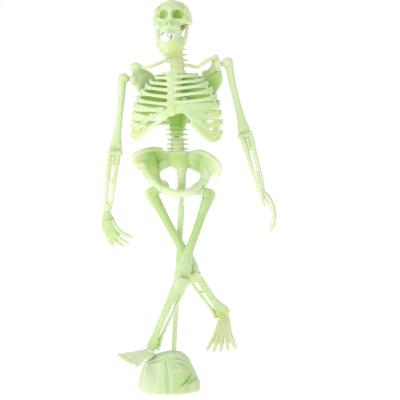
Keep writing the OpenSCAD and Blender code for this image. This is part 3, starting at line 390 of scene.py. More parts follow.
def paint_shade_and_yellow(mesh, voxel, reach, pools):
    """Stores the painted shade, 0.5 where flat, deeper in a hollow and paler on an edge, and a yellow tint, from
    the shape and the pools.
    """
    count = len(mesh.vertices)
    place = vectors(mesh, "co")
    ends = np.empty(len(mesh.edges) * 2, dtype=np.int32)
    mesh.edges.foreach_get("vertices", ends)
    a, b = ends.reshape(-1, 2).T
    shared = np.bincount(a, minlength=count) + np.bincount(b, minlength=count)
    relaxed = place.copy()
    for _ in range(int(2 * (reach / voxel) ** 2)):
        for k in range(3):
            near = np.bincount(a, relaxed[b, k], count) + np.bincount(b, relaxed[a, k], count)
            relaxed[:, k] = 0.5 * relaxed[:, k] + 0.5 * near / shared
    # Painted shade: deeper where a point lies below its relaxed place, paler painted light where it stands out
    painted_shade_level = 0.5 + ((relaxed - place) * vectors(mesh, "normal")).sum(1) / (reach * MM)
    lime = np.zeros(count)
    # Each pool paints shade deeper (above 0) or light paler (below 0), and adds a yellow tint
    for where, centre, radii, painted_shade_shift, yellower in pools:
        turn = np.array((where @ Matrix.Translation(centre) @ Matrix.Diagonal((*radii, 1))).inverted())
        local = place @ turn[:3, :3].T + turn[:3, 3]
        weight = np.clip(1 - (local ** 2).sum(1), 0, 1) ** 1.5
        painted_shade_level += painted_shade_shift * weight
        lime += yellower * weight
    store(mesh, "hollow", painted_shade_level)
    store(mesh, "yellow", lime)

# %% [markdown]
# `mould` skins the lumps, cuts sockets and slits with a Boolean, evens the cut with a second skin and
# polishes it with a Smooth modifier. Then it paints light and shade into the piece's colour and hangs it on its
# body.

# %% Mould
face_counts = []


def carve(obj, cut, voxel):
    """Takes the cut clay away from the object and evens the edge; returns the tool."""
    tool = shell(obj.name + "_tool", cut)
    skin(tool, voxel)
    step = obj.modifiers.new("Cut", "BOOLEAN")
    step.operation = "DIFFERENCE"
    step.solver = "MANIFOLD"
    step.object = tool
    skin(obj, voxel)
    return tool


def mould(node, clay, cut=None, body=None, slot="bone", also=(), voxel=0.42, polish=5, reach=2.0,
          pools=()):
    """One smooth moulding for a node, from clay less cut.

    It rides on body, or else on the body of the node's name, and stands for the nodes in also too."""
    name = node + "_moulding"
    voxel *= 1
    obj = shell(name, clay)
    skin(obj, voxel)
    tool = carve(obj, cut, voxel) if cut is not None else None
    smooth = obj.modifiers.new("Polish", "SMOOTH")
    smooth.factor = 0.5
    smooth.iterations = polish
    done = bpy.data.meshes.new_from_object(obj.evaluated_get(bpy.context.evaluated_depsgraph_get()))
    rough = obj.data
    obj.modifiers.clear()
    obj.data = done
    done.name = name
    bpy.data.meshes.remove(rough)
    if tool:
        bpy.data.objects.remove(tool)
    done.shade_smooth()
    # Paints light and shade, and the yellow tint, into the colour values
    paint_shade_and_yellow(done, voxel, reach, pools)
    done.materials.clear()
    done.materials.append(finishes[slot])
    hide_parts(node, *also)
    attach(obj, body or node)
    face_counts.append(len(done.polygons))
    print(name, "faces", len(done.polygons))

# %% [markdown]
# ## Where the bones are
# Each bone's frame comes from the joints at its two ends. Only the turns that a joint's axis can't tell,
# such as how far the chest and the head are turned, are written down here. The trunk and the head come
# first.

# %% Bone frames
def point(name):
    """Where a joint is."""
    return Vector(joints[name]["pos_m"])


def axis(name):
    """The line that a joint turns about."""
    return Vector(joints[name]["axis"])


SIDES = (("right", -1), ("left", 1))
CHEST_TURN, HEAD_TURN, HEAD_BACK = (math.radians(a) for a in (6, 6, 18))
FOOT_TURN = {"right": 11, "left": 56}
FOOT_LIFT = {"right": 12, "left": 7}
FEMUR, HUMERUS, FOREARM = 84.5, 73.0, 57.5
NECK_LENGTH = 33
HINGE_Y, HINGE_Z = -2, 13
UP = Vector((0, 0, 1))
chest_x = Vector((math.cos(CHEST_TURN), -math.sin(CHEST_TURN), 0))
CHEST = frame_at(point("waist_twist"), UP, chest_x)
rod_way = axis("pelvis_swivel")
PELVIS = frame_at(point("pelvis_swivel"), rod_way, axis("hip_spread_right").cross(rod_way))
NECK = frame_at(point("head_turn") - axis("head_turn") * NECK_LENGTH * MM, axis("head_turn"), chest_x)
head_up = Matrix.Rotation(-HEAD_TURN, 3, "Z") @ Matrix.Rotation(-HEAD_BACK, 3, "X") @ UP
HEAD = frame_at((0, 0, 0), head_up, axis("jaw_hinge"))
HEAD.translation = point("jaw_hinge") - HEAD.to_3x3() @ Vector((0, HINGE_Y, HINGE_Z))
SEAT = frame_at(point("waist_twist") + Vector((0.6, -1.2, -13.5)) * MM, UP, chest_x)
WORLD = Matrix.Scale(MM, 4)

# %% [markdown]
# The limbs follow from hip, knee and ankle, and from shoulder, elbow and wrist, with the hinge as the
# direction across. The upper arm lies beside its joint, so its direction is squared to the hinge.

# %% Limb frames
LEG_JOINTS = ("hip_swing_", "knee_bend_", "foot_twist_")
ARM_JOINTS = ("shoulder_swing_", "elbow_bend_", "wrist_twist_")
THIGH, CALF, FOOT, UPPER, FORE = {}, {}, {}, {}, {}
for side, _ in SIDES:
    hip, knee, ankle = (point(joint + side) for joint in LEG_JOINTS)
    hinge = axis("knee_bend_" + side)
    THIGH[side] = frame_at(hip, knee - hip, hinge)
    CALF[side] = frame_at(knee, ankle - knee, hinge)
    turn = Matrix.Rotation(math.radians(FOOT_TURN[side]), 3, (ankle - knee).normalized())
    FOOT[side] = frame_at(ankle, ankle - knee, turn @ hinge)
    shoulder, elbow, wrist = (point(joint + side) for joint in ARM_JOINTS)
    hinge = -axis("elbow_bend_" + side)
    along = elbow - shoulder
    UPPER[side] = frame_at(shoulder, along - hinge * along.dot(hinge), hinge)
    FORE[side] = frame_at(elbow, wrist - elbow, hinge)
print("pelvis", [round(v, 4) for v in PELVIS.translation], "head", [round(v, 4) for v in HEAD.translation])


def mirrored(stations, q):
    """The stations on the figure's left (1) or right (-1)."""
    return [(s[0] * q, *s[1:]) for s in stations]

# %% [markdown]
# ## Skull
# The skull is a smooth egg with a low brow, deep eye sockets, a nose of two slits set like a roof, cheek
# arches that stand away from it, and a bulging upper jaw with one front tooth. A sphere could be sculpted,
# but lumps with numbers can be corrected one at a time. First comes what is added.

# %% Skull lumps
def skull_clay(clay):
    """What both halves share: the brain case, the face's core and the skull's base."""
    ball(clay, HEAD, (-0.4, -1.0, 20.2), (16.2, 19.2, 16.3))
    tube(clay, HEAD, [
        (0, -7, 25, 13, 10), (0, -9.4, 18, 14, 10.8), (0, -10.6, 11, 12.6, 10.8),
        (0.2, -12.4, 5, 10.6, 10.4), (0.2, -13.4, 0, 10.9, 9.4), (0.4, -14.2, -3.6, 10.2, 8.2),
        (0.8, -14.4, -6.6, 8.6, 6.8)], sides=24)
    ball(clay, HEAD, (0, 2, 9), (8.4, 8.4, 6.6))


def face_clay(clay):
    """The front half's lumps."""
    skull_clay(clay)
    for q in (-1, 1):
        # Cheek arch, outer rim of the eye, and the temple with its ridge
        tube(clay, HEAD, mirrored([
            (5, -18.6, 8.8, 3.4, 2.6), (10.8, -15.6, 10.2, 3.6, 2.8), (15.2, -9.6, 12.0, 3.3, 2.4),
            (17.4, -4.6, 14.0, 3.2, 2.2), (17.0, 1.0, 15.6, 2.8, 2.2)], q), (0, 0, 1))
        tube(clay, HEAD, mirrored([
            (12.6, -12.4, 24, 2.2, 2.0), (13.6, -12.6, 17, 2.2, 2.0), (12.6, -14.6, 11.5, 2.6, 2.2)], q),
            (1, 0, 0))
        tube(clay, HEAD, mirrored([
            (8.6, -5.8, 31.6, 2.0, 4.4), (13.0, -6.4, 25.4, 2.8, 6.4), (15.6, -6.8, 19.6, 3.0, 7.0),
            (16.6, -6.0, 15, 2.8, 5.6), (16.0, -5.0, 12, 2.0, 3.4)], q), (1, 0, 0))
        ball(clay, HEAD, (q * 12.6, -11.4, 19.0), (3.2, 3.6, 7.0))
    # Nose bridge, upper jaw, front tooth and the fuller right cheek
    tube(clay, HEAD, [
        (0, -18.8, 21, 3.0, 2.2), (0, -20.4, 14, 2.3, 2.4), (0.1, -22.2, 8.8, 2.4, 2.2),
        (0.2, -22.6, 4.6, 3.2, 2.0), (0.2, -22.2, 0, 4.2, 2.2)])
    ball(clay, HEAD, (0.6, -17.0, 0.6), (9.4, 6.4, 6.0))
    ball(clay, HEAD, (0.9, -20.8, -7.2), (2.7, 2.0, 3.2))
    ball(clay, HEAD, (-10.4, -15, 5.4), (3.8, 3.2, 4.6))

# %% [markdown]
# Then comes what is taken away. The sockets are tilted, because the head leans back. The open mouth is
# three holes round the front tooth that run right through the head and widen on the way, so that white
# shows through them.

# %% Skull cuts
SOCKET_TILT = 20
SIGHT_WAY = Vector((-0.1, 0.93, 0.36))
FLARE = 1.7


def sight_hole(cut, centre, half_w, half_h, near=8, far=46):
    """Cuts an oval hole that runs back through the head and widens on the way."""
    a = Vector(centre) - SIGHT_WAY * near
    b = Vector(centre) + SIGHT_WAY * far
    tube(cut, HEAD, [(*a, half_w, half_h), (*b, half_w * FLARE, half_h * FLARE)], (1, 0, 0), 16, 1)


def face_cut(cut):
    """The front half's sockets, slits and holes."""
    ball(cut, HEAD, (-7.2, -21.0, 15.6), (5.0, 7.4, 6.5), (SOCKET_TILT, -16, 0))
    ball(cut, HEAD, (6.7, -21.0, 15.2), (5.3, 7.6, 5.8), (SOCKET_TILT, 24, 0))
    ball(cut, HEAD, (8.8, -20.0, 12.8), (3.5, 6.4, 3.2), (SOCKET_TILT, 0, 0))
    for q in (-1, 1):
        # Nose slit, fold beside it, and the hole and the slot for the jaw's hinge
        tube(cut, HEAD, mirrored([
            (0.6, -26.4, 6.4, 0.4, 3.6), (1.5, -26.2, 3.6, 0.95, 3.6), (2.7, -25.6, 0.0, 0.8, 3.2)], q),
            (1, 0, 0), 10)
        tube(cut, HEAD, mirrored([
            (3.6, -24.2, 9.6, 0.5, 1.5), (5.8, -23.6, 5.0, 0.7, 1.9), (8.0, -22.4, 1.2, 0.5, 1.5)], q),
            (1, 0, 0), 10)
        rod(cut, HEAD, (q * 12.6, HINGE_Y, HINGE_Z), (q * 19.4, HINGE_Y, HINGE_Z), 1.5)
        slab(cut, HEAD, (q * 14.6 - 1.75, -6.8, 4), (q * 14.6 + 1.75, 4, 16.4))
    # The gap under the left cheek, and room for the jaw's uprights
    sight_hole(cut, (11.8, -16, 2.0), 1.6, 2.5, 10, 20)
    ball(cut, HEAD, (13.4, -12.6, 5.0), (2.6, 5.0, 2.8))
    slab(cut, HEAD, (-17, -14, -14), (-11.0, 7, 6.4))
    slab(cut, HEAD, (12.4, -14, -14), (17, 7, 6.4))
    mouth(cut)
    neck_hole(cut)


def mouth(cut):
    """The open mouth: three holes round the front tooth."""
    sight_hole(cut, (-5.0, -22, -9.6), 2.6, 4.0)
    sight_hole(cut, (-1.0, -22, -12.6), 5.4, 2.2)
    sight_hole(cut, (4.2, -22, -10.4), 2.2, 3.9)


def neck_hole(cut):
    """The hole for the neck's peg, and room for the neck below it."""
    neck_top = NECK @ Matrix.Translation((0, 0, NECK_LENGTH))
    rod(cut, neck_top, (0, 0, -30), (0, 0, 7.4), 2.7)
    rod(cut, neck_top, (0, 0, -40), (0, 0, 0.6), 9.0)

# %% [markdown]
# The face half and the back half are separate mouldings that meet on a seam behind the ears. Both come
# from the same egg, each with the other side cut away, so the seam fits.

# %% Skull halves
SEAM_Y = 3.0
clay, cut = bmesh.new(), bmesh.new()
face_clay(clay)
face_cut(cut)
slab(cut, HEAD, (-40, SEAM_Y, -40), (40, 60, 60))
# Painted shade in the eye sockets, by the nose and tooth; painted light in the mouth, right cheek slit and temples
mould("skull_face", clay, cut, body="head", voxel=0.34, polish=8, reach=2.6,
      pools=[(HEAD, (-7.6, -16, 15), (6, 9, 7), 0.2, 0.3), (HEAD, (7.4, -16, 15), (7, 9, 7), 0.5, 0.0),
             (HEAD, (12, -12, 5), (6, 10, 6), -0.15, 0.9), (HEAD, (0, -2, 36), (22, 26, 16), -0.25, 0.6),
             (HEAD, (0.2, -23, 3), (5, 5, 6), 0.15, 0.0), (HEAD, (0.2, -22, -5), (6, 5, 4), 0.2, 0.0),
             (HEAD, (-1, -18, -10), (10, 9, 4), -0.6, 0.0), (HEAD, (-12, -8, 2), (4, 10, 9), -0.5, 0.2),
             (HEAD, (-17, -6, 19), (6, 10, 11), -0.35, 0.1), (HEAD, (17, -6, 20), (6, 10, 9), -0.2, 0.1)])
clay, cut = bmesh.new(), bmesh.new()
skull_clay(clay)
ball(clay, HEAD, (0, 17.2, 13), (4, 1.6, 2.4))
slab(cut, HEAD, (-40, -60, -40), (40, SEAM_Y + 0.05, 60))
mouth(cut)
neck_hole(cut)
mould("skull_back", clay, cut, body="head", voxel=0.4, polish=4, reach=2.4)

# %% [markdown]
# ## Jaw
# The lower jaw is a deep smooth bowl with two uprights that end in hinge pins inside the cheek arches. A
# bent strip would be too sharp-edged, so an ellipsoid is hollowed from behind, and the mouth and the upper
# jaw's room are cut out of its upper front edge.

# %% Jaw
clay, cut = bmesh.new(), bmesh.new()
ball(clay, HEAD, (0.4, -10.2, -11.8), (12.6, 13.4, 13.6))
# Two uprights with their hinge pins
for q, inner, thick in ((-1, 13.3, 2.3), (1, 14.4, 1.5)):
    tube(clay, HEAD, mirrored([
        (14.6, -2, 14.6, 2.2, 1.2), (14.6, -2.4, 9, 3.2, 1.3), (inner, -4.4, 2, 4.8, thick),
        (inner - 1, -6.8, -6, 5.8, thick), (10.8, -9, -13, 6.0, 2.2)], q), (0, 1, 0))
    rod(clay, HEAD, (q * 14.6, HINGE_Y, HINGE_Z), (q * 18.4, HINGE_Y, HINGE_Z), 1.3)
# A web behind the right upright, a rim before it, and the left corner of the mouth
tube(clay, HEAD, [
    (-12.4, 1.4, 7, 2.0, 1.1), (-11.2, 0.8, 1, 4.2, 1.2), (-10.6, -0.8, -6, 4.0, 1.4),
    (-10, -3.4, -13, 2.6, 1.6)], (1, 0, 0), 14, 4)
tube(clay, HEAD, [
    (-12.6, -8.8, 5, 1.4, 1.2), (-11.9, -10.6, 0, 2.0, 1.6), (-11.2, -12.2, -6.6, 2.6, 1.9),
    (-10, -13.6, -12, 3.0, 2.2)], (1, 0, 0), 12, 4)
ball(clay, HEAD, (12.8, -11.2, -9.6), (2.4, 2.8, 3.2))
# The bowl's inside, open behind, with room for the neck when the jaw drops and the head turns
ball(cut, HEAD, (0.4, -8.2, -10.4), (10.7, 12.6, 12.2))
slab(cut, HEAD, (-6.8, -4.6, -60), (12.4, 40, 40))
ball(cut, HEAD, (0, 0, -30), (9.6, 13, 13))
ball(cut, HEAD, (8.2, -3.2, -17), (5.2, 7.2, 7.4))
# The mouth, and room for the upper jaw
sight_hole(cut, (-2.2, -22, -10.0), 4.9, 4.2)
tube(cut, HEAD, [
    (0.7, -12.4, 8, 10.5, 10.4), (0.7, -13.4, 1, 10.6, 9.2), (0.9, -14, -4, 10.0, 8.0),
    (1.2, -14.4, -6.8, 8.4, 6.6)], sides=20)
# Painted light pales the mouth's shaded walls; the chin is tinted yellow, most on the left
mould("jaw", clay, cut, voxel=0.36, polish=5, reach=2.2,
      pools=[(HEAD, (7, -16, -20), (12, 14, 11), 0.0, 0.6), (HEAD, (-1, -14, -8), (13, 18, 8), -0.6, 0.0),
             (HEAD, (-8, -16, -18), (8, 10, 10), -0.1, 0.15)])

# %% [markdown]
# ## Neck and collarbones
# A vertebra is a waisted drum with two side wings and a back spike. One function makes them all, since
# they differ only in size.

# %% Vertebrae
def vertebra(clay, place, z, radius, height, spike, back, wide=1.0):
    """One vertebra from z up: a waisted body, two side wings and a back spike."""
    tube(clay, place, [
        (0, 0, z, radius * wide, radius * 0.9),
        (0, 0, z + height * 0.5, radius * 0.9 * wide, radius * 0.8),
        (0, 0, z + height, radius * wide, radius * 0.9)], sides=20)
    for q in (-1, 1):
        tube(clay, place, mirrored([
            (radius * 0.5, 1.6, z + height * 0.5, 1.4, 1.7),
            (spike * 0.75, 2.4, z + height * 0.5, 1.0, 1.2), (spike, 3.0, z + height * 0.5, 0.65, 0.8)],
            q), (0, 0, 1), 10)
        ball(clay, place, (q * radius * 0.75, 3.0, z + height * 0.6), (1.9, 1.9, height * 0.45))
    if back:
        tube(clay, place, [
            (0, radius * 0.6, z + height * 0.5, 1.8, 1.2), (0, back * 0.7, z + height * 0.2, 1.6, 0.9),
            (0, back, z - height * 0.15, 1.2, 0.8)], (0, 0, 1), 10)

# %% [markdown]
# The neck is a stack of six vertebrae, paler than the rest, on a core that ends in the head's peg. It
# carries a lug for each collarbone.

# %% Neck
NECK_PITCH = NECK_LENGTH / 6.4
COLLAR = {"right": NECK @ Vector((-7.2, -2, NECK_LENGTH * 0.44)),
          "left": NECK @ Vector((7.2, -2, NECK_LENGTH * 0.19))}
COLLAR_WAY = {"right": Vector((-1, 0.02, -0.75)).normalized(), "left": Vector((1, 0, 0.02)).normalized()}
clay = bmesh.new()
rod(clay, NECK, (0, 0, -5), (0, 0, 32.4), 4.2)
neck_stack = NECK @ Matrix.Translation((1.2, 0, 0))
for i in range(6):
    vertebra(clay, neck_stack, i * NECK_PITCH - 1.4, 4.9, NECK_PITCH - 0.7, 11 if i > 1 else 7.4,
             9 if i else 0, 1.42)
rod(clay, NECK, (0, 0, 30), (0, 0, 39.4), 2.5)
tube(clay, NECK, [(1.2, -2.4, 4, 6.6, 3.4), (1.0, -4.6, -1, 7.0, 3.6), (0.4, -8, -5, 6.4, 3.2)], sides=16)
for side in COLLAR:
    start = COLLAR[side] - COLLAR_WAY[side] * 6 * MM
    rod(clay, WORLD, start / MM, COLLAR[side] / MM, 2.2)
# Painted light pales the neck's front, which lies in the jaw's shade, and tints it yellow
mould("neck", clay, body="chest", slot="pale_bone", voxel=0.34, polish=4, reach=1.4,
      pools=[(NECK, (1, -6, 12), (14, 12, 22), -0.25, 0.2)])

# %% [markdown]
# Each collarbone is a thin S from a lug to the knob of the shoulder blade. It is swept through five points
# that come from its two ends, so it still fits if a shoulder moves.

# %% Collarbones
TIP = {"right": point("shoulder_swing_right") + Vector((4.6, 1, 11.5)) * MM,
       "left": point("shoulder_swing_left") + Vector((-3.4, 2, 5.6)) * MM}
TIP_IN = {"right": Vector((1, -0.1, 0.02)).normalized(), "left": Vector((-1, -0.1, -0.16)).normalized()}
BOW = {"right": -2.6, "left": -4.6}
for side in COLLAR:
    start = (COLLAR[side] + COLLAR_WAY[side] * 0.15 * MM) / MM
    end = (TIP[side] + TIP_IN[side] * 3.7 * MM) / MM
    near = start + COLLAR_WAY[side] * 5 + Vector((0, -1, 0))
    middle = (start + end) / 2 + Vector((0, -3, BOW[side]))
    far = end + TIP_IN[side] * 5 + Vector((0, -0.6, BOW[side] * 0.2))
    clay = bmesh.new()
    tube(clay, WORLD, [
        (*start, 1.7, 1.7), (*near, 1.5, 1.5), (*middle, 1.6, 1.5), (*far, 1.8, 1.5), (*end, 2.0, 1.7)],
        (0, 0, 1), 14, 5)
    mould(f"collarbone_{side}", clay, body="chest", slot="pale_bone", voxel=0.3, polish=3, reach=1.2)

# %% [markdown]
# ## Spine
# The lumbar spine plugs into the sacrum and carries the waist's peg. The chest part stands inside the ribs
# and is broad where they join it. Both are stacks of the same vertebra.

# %% Spine
clay = bmesh.new()
rod(clay, SEAT, (0, 0, -6), (0, 0, 13.2), 5.2)
for i in range(3):
    vertebra(clay, SEAT, i * 4.5 + 0.2, 6.5, 3.8, 11.0, 13 if i else 0)
rod(clay, CHEST, (0, 0, -1), (0, 0, 6), 2.5)
mould("lumbar_spine", clay, body="pelvis", voxel=0.36, polish=3, reach=1.6,
      pools=[(SEAT, (0, -6, 3), (9, 8, 12), 0.0, 0.3), (SEAT, (0, -6, 12), (9, 8, 6), 0.12, 0.0)])
clay, cut = bmesh.new(), bmesh.new()
rod(clay, CHEST, (0, 0, 0.4), (0, 0, 63), 4.8)
for i in range(2):
    vertebra(clay, CHEST, i * 4.8 + 0.5, 6.5, 4.2, 11.2, 0)
for i in range(8):
    vertebra(clay, CHEST, i * 6.6 + 10.4, 5.9, 5.6, 6.8, 0)
tube(clay, CHEST, [
    (0.4, 0.6, 7, 6.8, 4.6), (0.4, 1.2, 12, 8.6, 4.8), (0.4, 1.8, 18, 12, 4.4), (0.4, 2.2, 25, 14, 4.0),
    (0.4, 2.4, 32, 14, 3.4), (0.4, 2.4, 36, 9, 2.4)], sides=18)
rod(cut, CHEST, (0, 0, -2), (0, 0, 6.6), 2.7)
# Painted shade deepens the spine under the breastbone and higher in the cage, with yellow up there
mould("chest_spine", clay, cut, body="chest", voxel=0.4, polish=3, reach=1.8,
      pools=[(CHEST, (1, -4, 16), (13, 16, 22), 0.4, 0.0), (CHEST, (0, 0, 42), (16, 14, 34), 0.15, 0.3)])

# %% [markdown]
# ## Rib cage
# Nine pairs of flat ribs run round an egg-shaped barrel, nearly level in front and rising to the spine.
# Drawing 18 curves by hand would let them drift apart, so one formula gives any point of any rib.

# %% Rib curves
RIB_FRONT = (55.4, 49.4, 43.8, 37.4, 30.6, 24.4, 16.8, 9.0, 1.0)
RIB_HALF = (20, 25.5, 29.5, 34, 38, 41, 42.6, 43.4, 43.4)
RIB_FALL = (3.0, 6.5, 9.0, 10.5, 10.5, 9.5, 8.0, 6.0, 3.5)
BARREL_X, BARREL_Y, BARREL_DEEP = 2.0, -14.5, 25.0


def rib_spot(i, v, q):
    """A point of rib i: v is 0 at the spine, 0.5 at the flank and 1 at the breastbone."""
    a = math.pi * v
    deep = BARREL_DEEP * (1 - 0.06 * max(0, 2 - i))
    x = (q * RIB_HALF[i] + BARREL_X) * math.sin(a)
    y = BARREL_Y + deep * math.cos(a)
    z = RIB_FRONT[i] + 0.7 * q + RIB_FALL[i] * ((1 + math.cos(a)) / 2) ** 0.65
    return x, y, z


def rib(clay, i, q, v0, v1, halves, thick=1.35):
    """A band along rib i from v0 to v1; halves are its half heights on the way."""
    steps = 3 * (len(halves) - 1)
    band = []
    for k in range(steps + 1):
        near, far = halves[k // 3], halves[min(k // 3 + 1, len(halves) - 1)]
        spot = rib_spot(i, v0 + (v1 - v0) * k / steps, q)
        band.append((*spot, near + (far - near) * (k % 3) / 3, thick))
    tube(clay, CHEST, band, (0, 0, 1), 12, 2)

# %% [markdown]
# The front half is one moulding with the breastbone and the two arches of gristle. On the left the arch is
# a broad plate with slots in it, on the right two straps.

# %% Front ribs
RIB_END = (0.93, 0.94, 0.945, 0.95, 0.945, 0.93, 0.87, 0.80, 0.71)
RIB_HOLES = ((33.2, 22.3, 2.2, 1.3), (33.4, 14.7, 5.0, 1.6), (36.6, 7.0, 2.0, 1.2), (-25, 21.0, 3.6, 1.3))
UPPER_RIB, FLANK_RIB = (3.0, 2.8, 1.9, 1.6, 1.6, 1.9), (3.5, 3.5, 2.3, 1.6, 1.6, 1.9)
ARCH_RIB, SIDE_RIB = (2.2, 2.6, 4.0, 4.8, 4.6), (4.2, 4.2, 3.6, 2.2, 1.9)
clay = bmesh.new()
for i in range(9):
    rib(clay, i, 1, 0.504, RIB_END[i], ARCH_RIB if i > 4 else FLANK_RIB if i > 1 else UPPER_RIB)
    rib(clay, i, -1, 0.504, RIB_END[i], SIDE_RIB if i > 4 else FLANK_RIB if i > 1 else UPPER_RIB)
# Breastbone, the gristle that ties the ribs to it, and the loop of the first rib
tube(clay, CHEST, [
    (0.4, -33.6, 61, 6.4, 2.0), (0.4, -36, 54, 5.4, 2.2), (0.4, -38.4, 42, 4.2, 2.2),
    (0.4, -39.0, 30, 4.6, 2.2), (0.4, -38.8, 23, 4.2, 2.0), (0.4, -38, 18.8, 1.6, 1.2)])
for q in (-1, 1):
    for i in range(5):
        p = rib_spot(i, RIB_END[i], q)
        tube(clay, CHEST, [(*p, 2.1, 1.35), (q * 3, p[1] - 0.6, p[2] - 0.2, 2.3, 1.5)], (0, 0, 1), 12, 1)
    tube(clay, CHEST, mirrored([
        (4, -32.5, 58.6, 1.6, 1.3), (8.4, -26, 59.8, 1.4, 1.2), (11, -15, 60.6, 1.4, 1.2),
        (10, -4, 61, 1.4, 1.2), (6.4, 2.6, 60.6, 1.4, 1.2)], q), (0, 0, 1), 12)
# A strip down each flank, the broad left arch with its edge, and the two straps of the right arch
for q in (-1, 1):
    tube(clay, CHEST, [(*rib_spot(i, 0.6, q), 3.0, 1.0) for i in range(2, 9)], (0, 1, 0), 12, 2)
arch = [(*rib_spot(i, RIB_END[i] - 0.02, 1), 4.4, 1.6) for i in range(5, 9)]
arch = [(1.5, -38.6, 24.4, 4.2, 1.6), *arch, (36.4, -29, -2.4, 3.0, 1.5)]
tube(clay, CHEST, arch, (0, 0, 1), 14, 3)
tube(clay, CHEST, [
    (18, -37.2, 13, 2.4, 1.2), (24, -35.6, 7.8, 3.0, 1.5), (30, -33, 2.4, 3.6, 1.6),
    (36, -29.6, -1.6, 4.2, 1.6), (41, -24, -2.0, 3.4, 1.5), (44.4, -17, 0.6, 2.4, 1.2)], (0, 0, 1), 12)
tube(clay, CHEST, [
    (-2.0, -38.8, 24, 3.0, 1.6), (-12, -37.6, 20.8, 2.1, 1.5), (-23, -34.4, 16.4, 2.3, 1.5),
    (-32, -29, 9.4, 3.2, 1.5), (-38, -23, 3, 4.4, 1.5)], (0, 0, 1), 12)
tube(clay, CHEST, [
    (-2.4, -38.2, 21, 1.8, 1.4), (-11, -37.2, 14.4, 1.9, 1.4), (-21, -34.4, 8.8, 2.2, 1.4),
    (-30, -30, 2.4, 3.4, 1.5), (-36, -25, -0.2, 4.0, 1.5), (-40.4, -17, 2.4, 3.4, 1.3)], (0, 0, 1), 12)
cut = bmesh.new()
for x, z, half_w, half_h in RIB_HOLES:
    tube(cut, CHEST, [(x, -44, z, half_w, half_h), (x, -8, z + 0.4, half_w, half_h)], (1, 0, 0), 14, 1)
mould("ribs_front", clay, cut, body="chest", voxel=0.42, polish=4, reach=1.6,
      pools=[(CHEST, (0, -38, 32), (16, 12, 34), -0.06, 0.1),
             (CHEST, (-38, -20, 12), (18, 24, 24), -0.2, 0.35),
             (CHEST, (40, -22, 14), (18, 20, 30), -0.1, 0.4),
             (CHEST, (12, -38, 20), (12, 8, 10), 0.1, 0.0)])

# %% [markdown]
# The back ribs are two combs that meet at the spine. They are broad and nearly closed, which is why hardly
# any white shows between the front ribs.

# %% Back ribs
for side, q in SIDES:
    clay = bmesh.new()
    for i in range(9):
        inner = 0.36 if i == 8 else 0.04
        rib(clay, i, q, inner, 0.5, (3.3, 3.9, 3.9, 3.5) if i < 6 else (2.2, 2.6, 3.0, 3.0))
        if i < 8:
            high = rib_spot(i, 0.04, q)[2]
            left, right = sorted((0.05 * q, 4.6 * q))
            slab(clay, CHEST, (left, 6.4, high - 4), (right, 10.4, high + 3.4))
    tube(clay, CHEST, [
        (*rib_spot(8, 0.37, q), 2.2, 1.3), (*rib_spot(7, 0.30, q), 2.2, 1.3)], (0, 0, 1), 12, 3)
    cut = bmesh.new()
    for x, z, half_w, half_h in RIB_HOLES:
        tube(cut, CHEST, [
            (x, -30, z + 0.2, half_w, half_h), (x, 24, z + 0.8, half_w, half_h)], (1, 0, 0), 14, 1)
    # Painted shade deepens the inside of the cage seen through the front ribs; more yellow on the left
    mould(f"ribs_back_{side}", clay, cut, body="chest", voxel=0.42, polish=4, reach=1.6,
          pools=[(CHEST, (q * 16, -2, 44), (30, 18, 34), 0.46, 0.5 if q > 0 else 0.3)])

# %% [markdown]
# ## Shoulder blades
# Each blade is a thin triangle behind the ribs with a ridge that runs out into a knob over the shoulder,
# and a cup for the ball peg. The two are posed so differently that each has its own stations, measured
# from its shoulder.

# %% Shoulder blades
SHOULDER = {side: point("shoulder_swing_" + side) / MM for side, _ in SIDES}


def blade(side, q, plate, across, ridge, knob, pool):
    """A shoulder blade from plate and ridge stations, a knob and a pool of painted light or shade, from the
    shoulder's centre.
    """
    clay, cut = bmesh.new(), bmesh.new()
    c = SHOULDER[side]
    for stations, way in ((plate, across), (ridge, (0, 0, 1))):
        tube(clay, WORLD, [(c.x + p[0], c.y + p[1], c.z + p[2], *p[3:]) for p in stations], way, 18, 4)
    ball(clay, UPPER[side], (-q * 0.8, 0, 0), (5.0, 5.0, 5.2))
    ball(clay, WORLD, c + Vector(knob[:3]), knob[3:])
    ball(cut, UPPER[side], (0, 0, 0), (3.3, 3.3, 3.3))
    slab(cut, UPPER[side], (min(q * 1.2, q * 9), -8, -8), (max(q * 1.2, q * 9), 8, 8))
    # The pool paints light on the right blade, in the ribs' shade, and a little shade on the left one
    mould(f"shoulder_blade_{side}", clay, cut, body="chest", voxel=0.36, polish=8, reach=2.4,
          pools=[(WORLD, c + Vector(pool[:3]), (13, 16, 12), pool[3], 0.2)])


blade("right", -1, [(1.8, 1.6, 0.6, 7.4, 4.2), (6, 4, 0.4, 10.4, 4.4), (11, 8, -2, 12.4, 3.4),
                    (16, 12, -6, 12.6, 2.4), (20, 16, -9, 11, 1.6)], (0, 0, 1),
      [(17, 15, 5, 2.4, 2.2), (10, 9, 7, 3.6, 3.2), (6, 3, 9.4, 4.6, 4.0), (2.2, 0.6, 11, 4.4, 3.6)],
      (3.4, 0.4, 11.6, 6.2, 4.2, 4.4), (11, 5, -3, -0.4))
blade("left", 1, [(-8, 11.6, -7.0, 10.6, 2.0), (-7, 11.2, -11, 11.8, 2.6), (-5, 10.2, -15, 9.8, 2.4),
                  (-5.6, 10.5, -22, 6.4, 2.2), (-6, 10.7, -28, 3.4, 1.8), (-6.2, 10.8, -31.4, 1.4, 1.2)],
      (0.9, -0.43, 0),
      [(-16, 14.6, -8, 2.6, 2.2), (-8.5, 9.4, -6.4, 3.4, 3.0), (-4.4, 5.4, -1, 3.6, 3.2),
       (-3.4, 2, 5.6, 3.2, 3.0)],
      (-3.4, 2, 5.8, 4.2, 3.7, 3.7), (-2, 6, -15, 0.16))

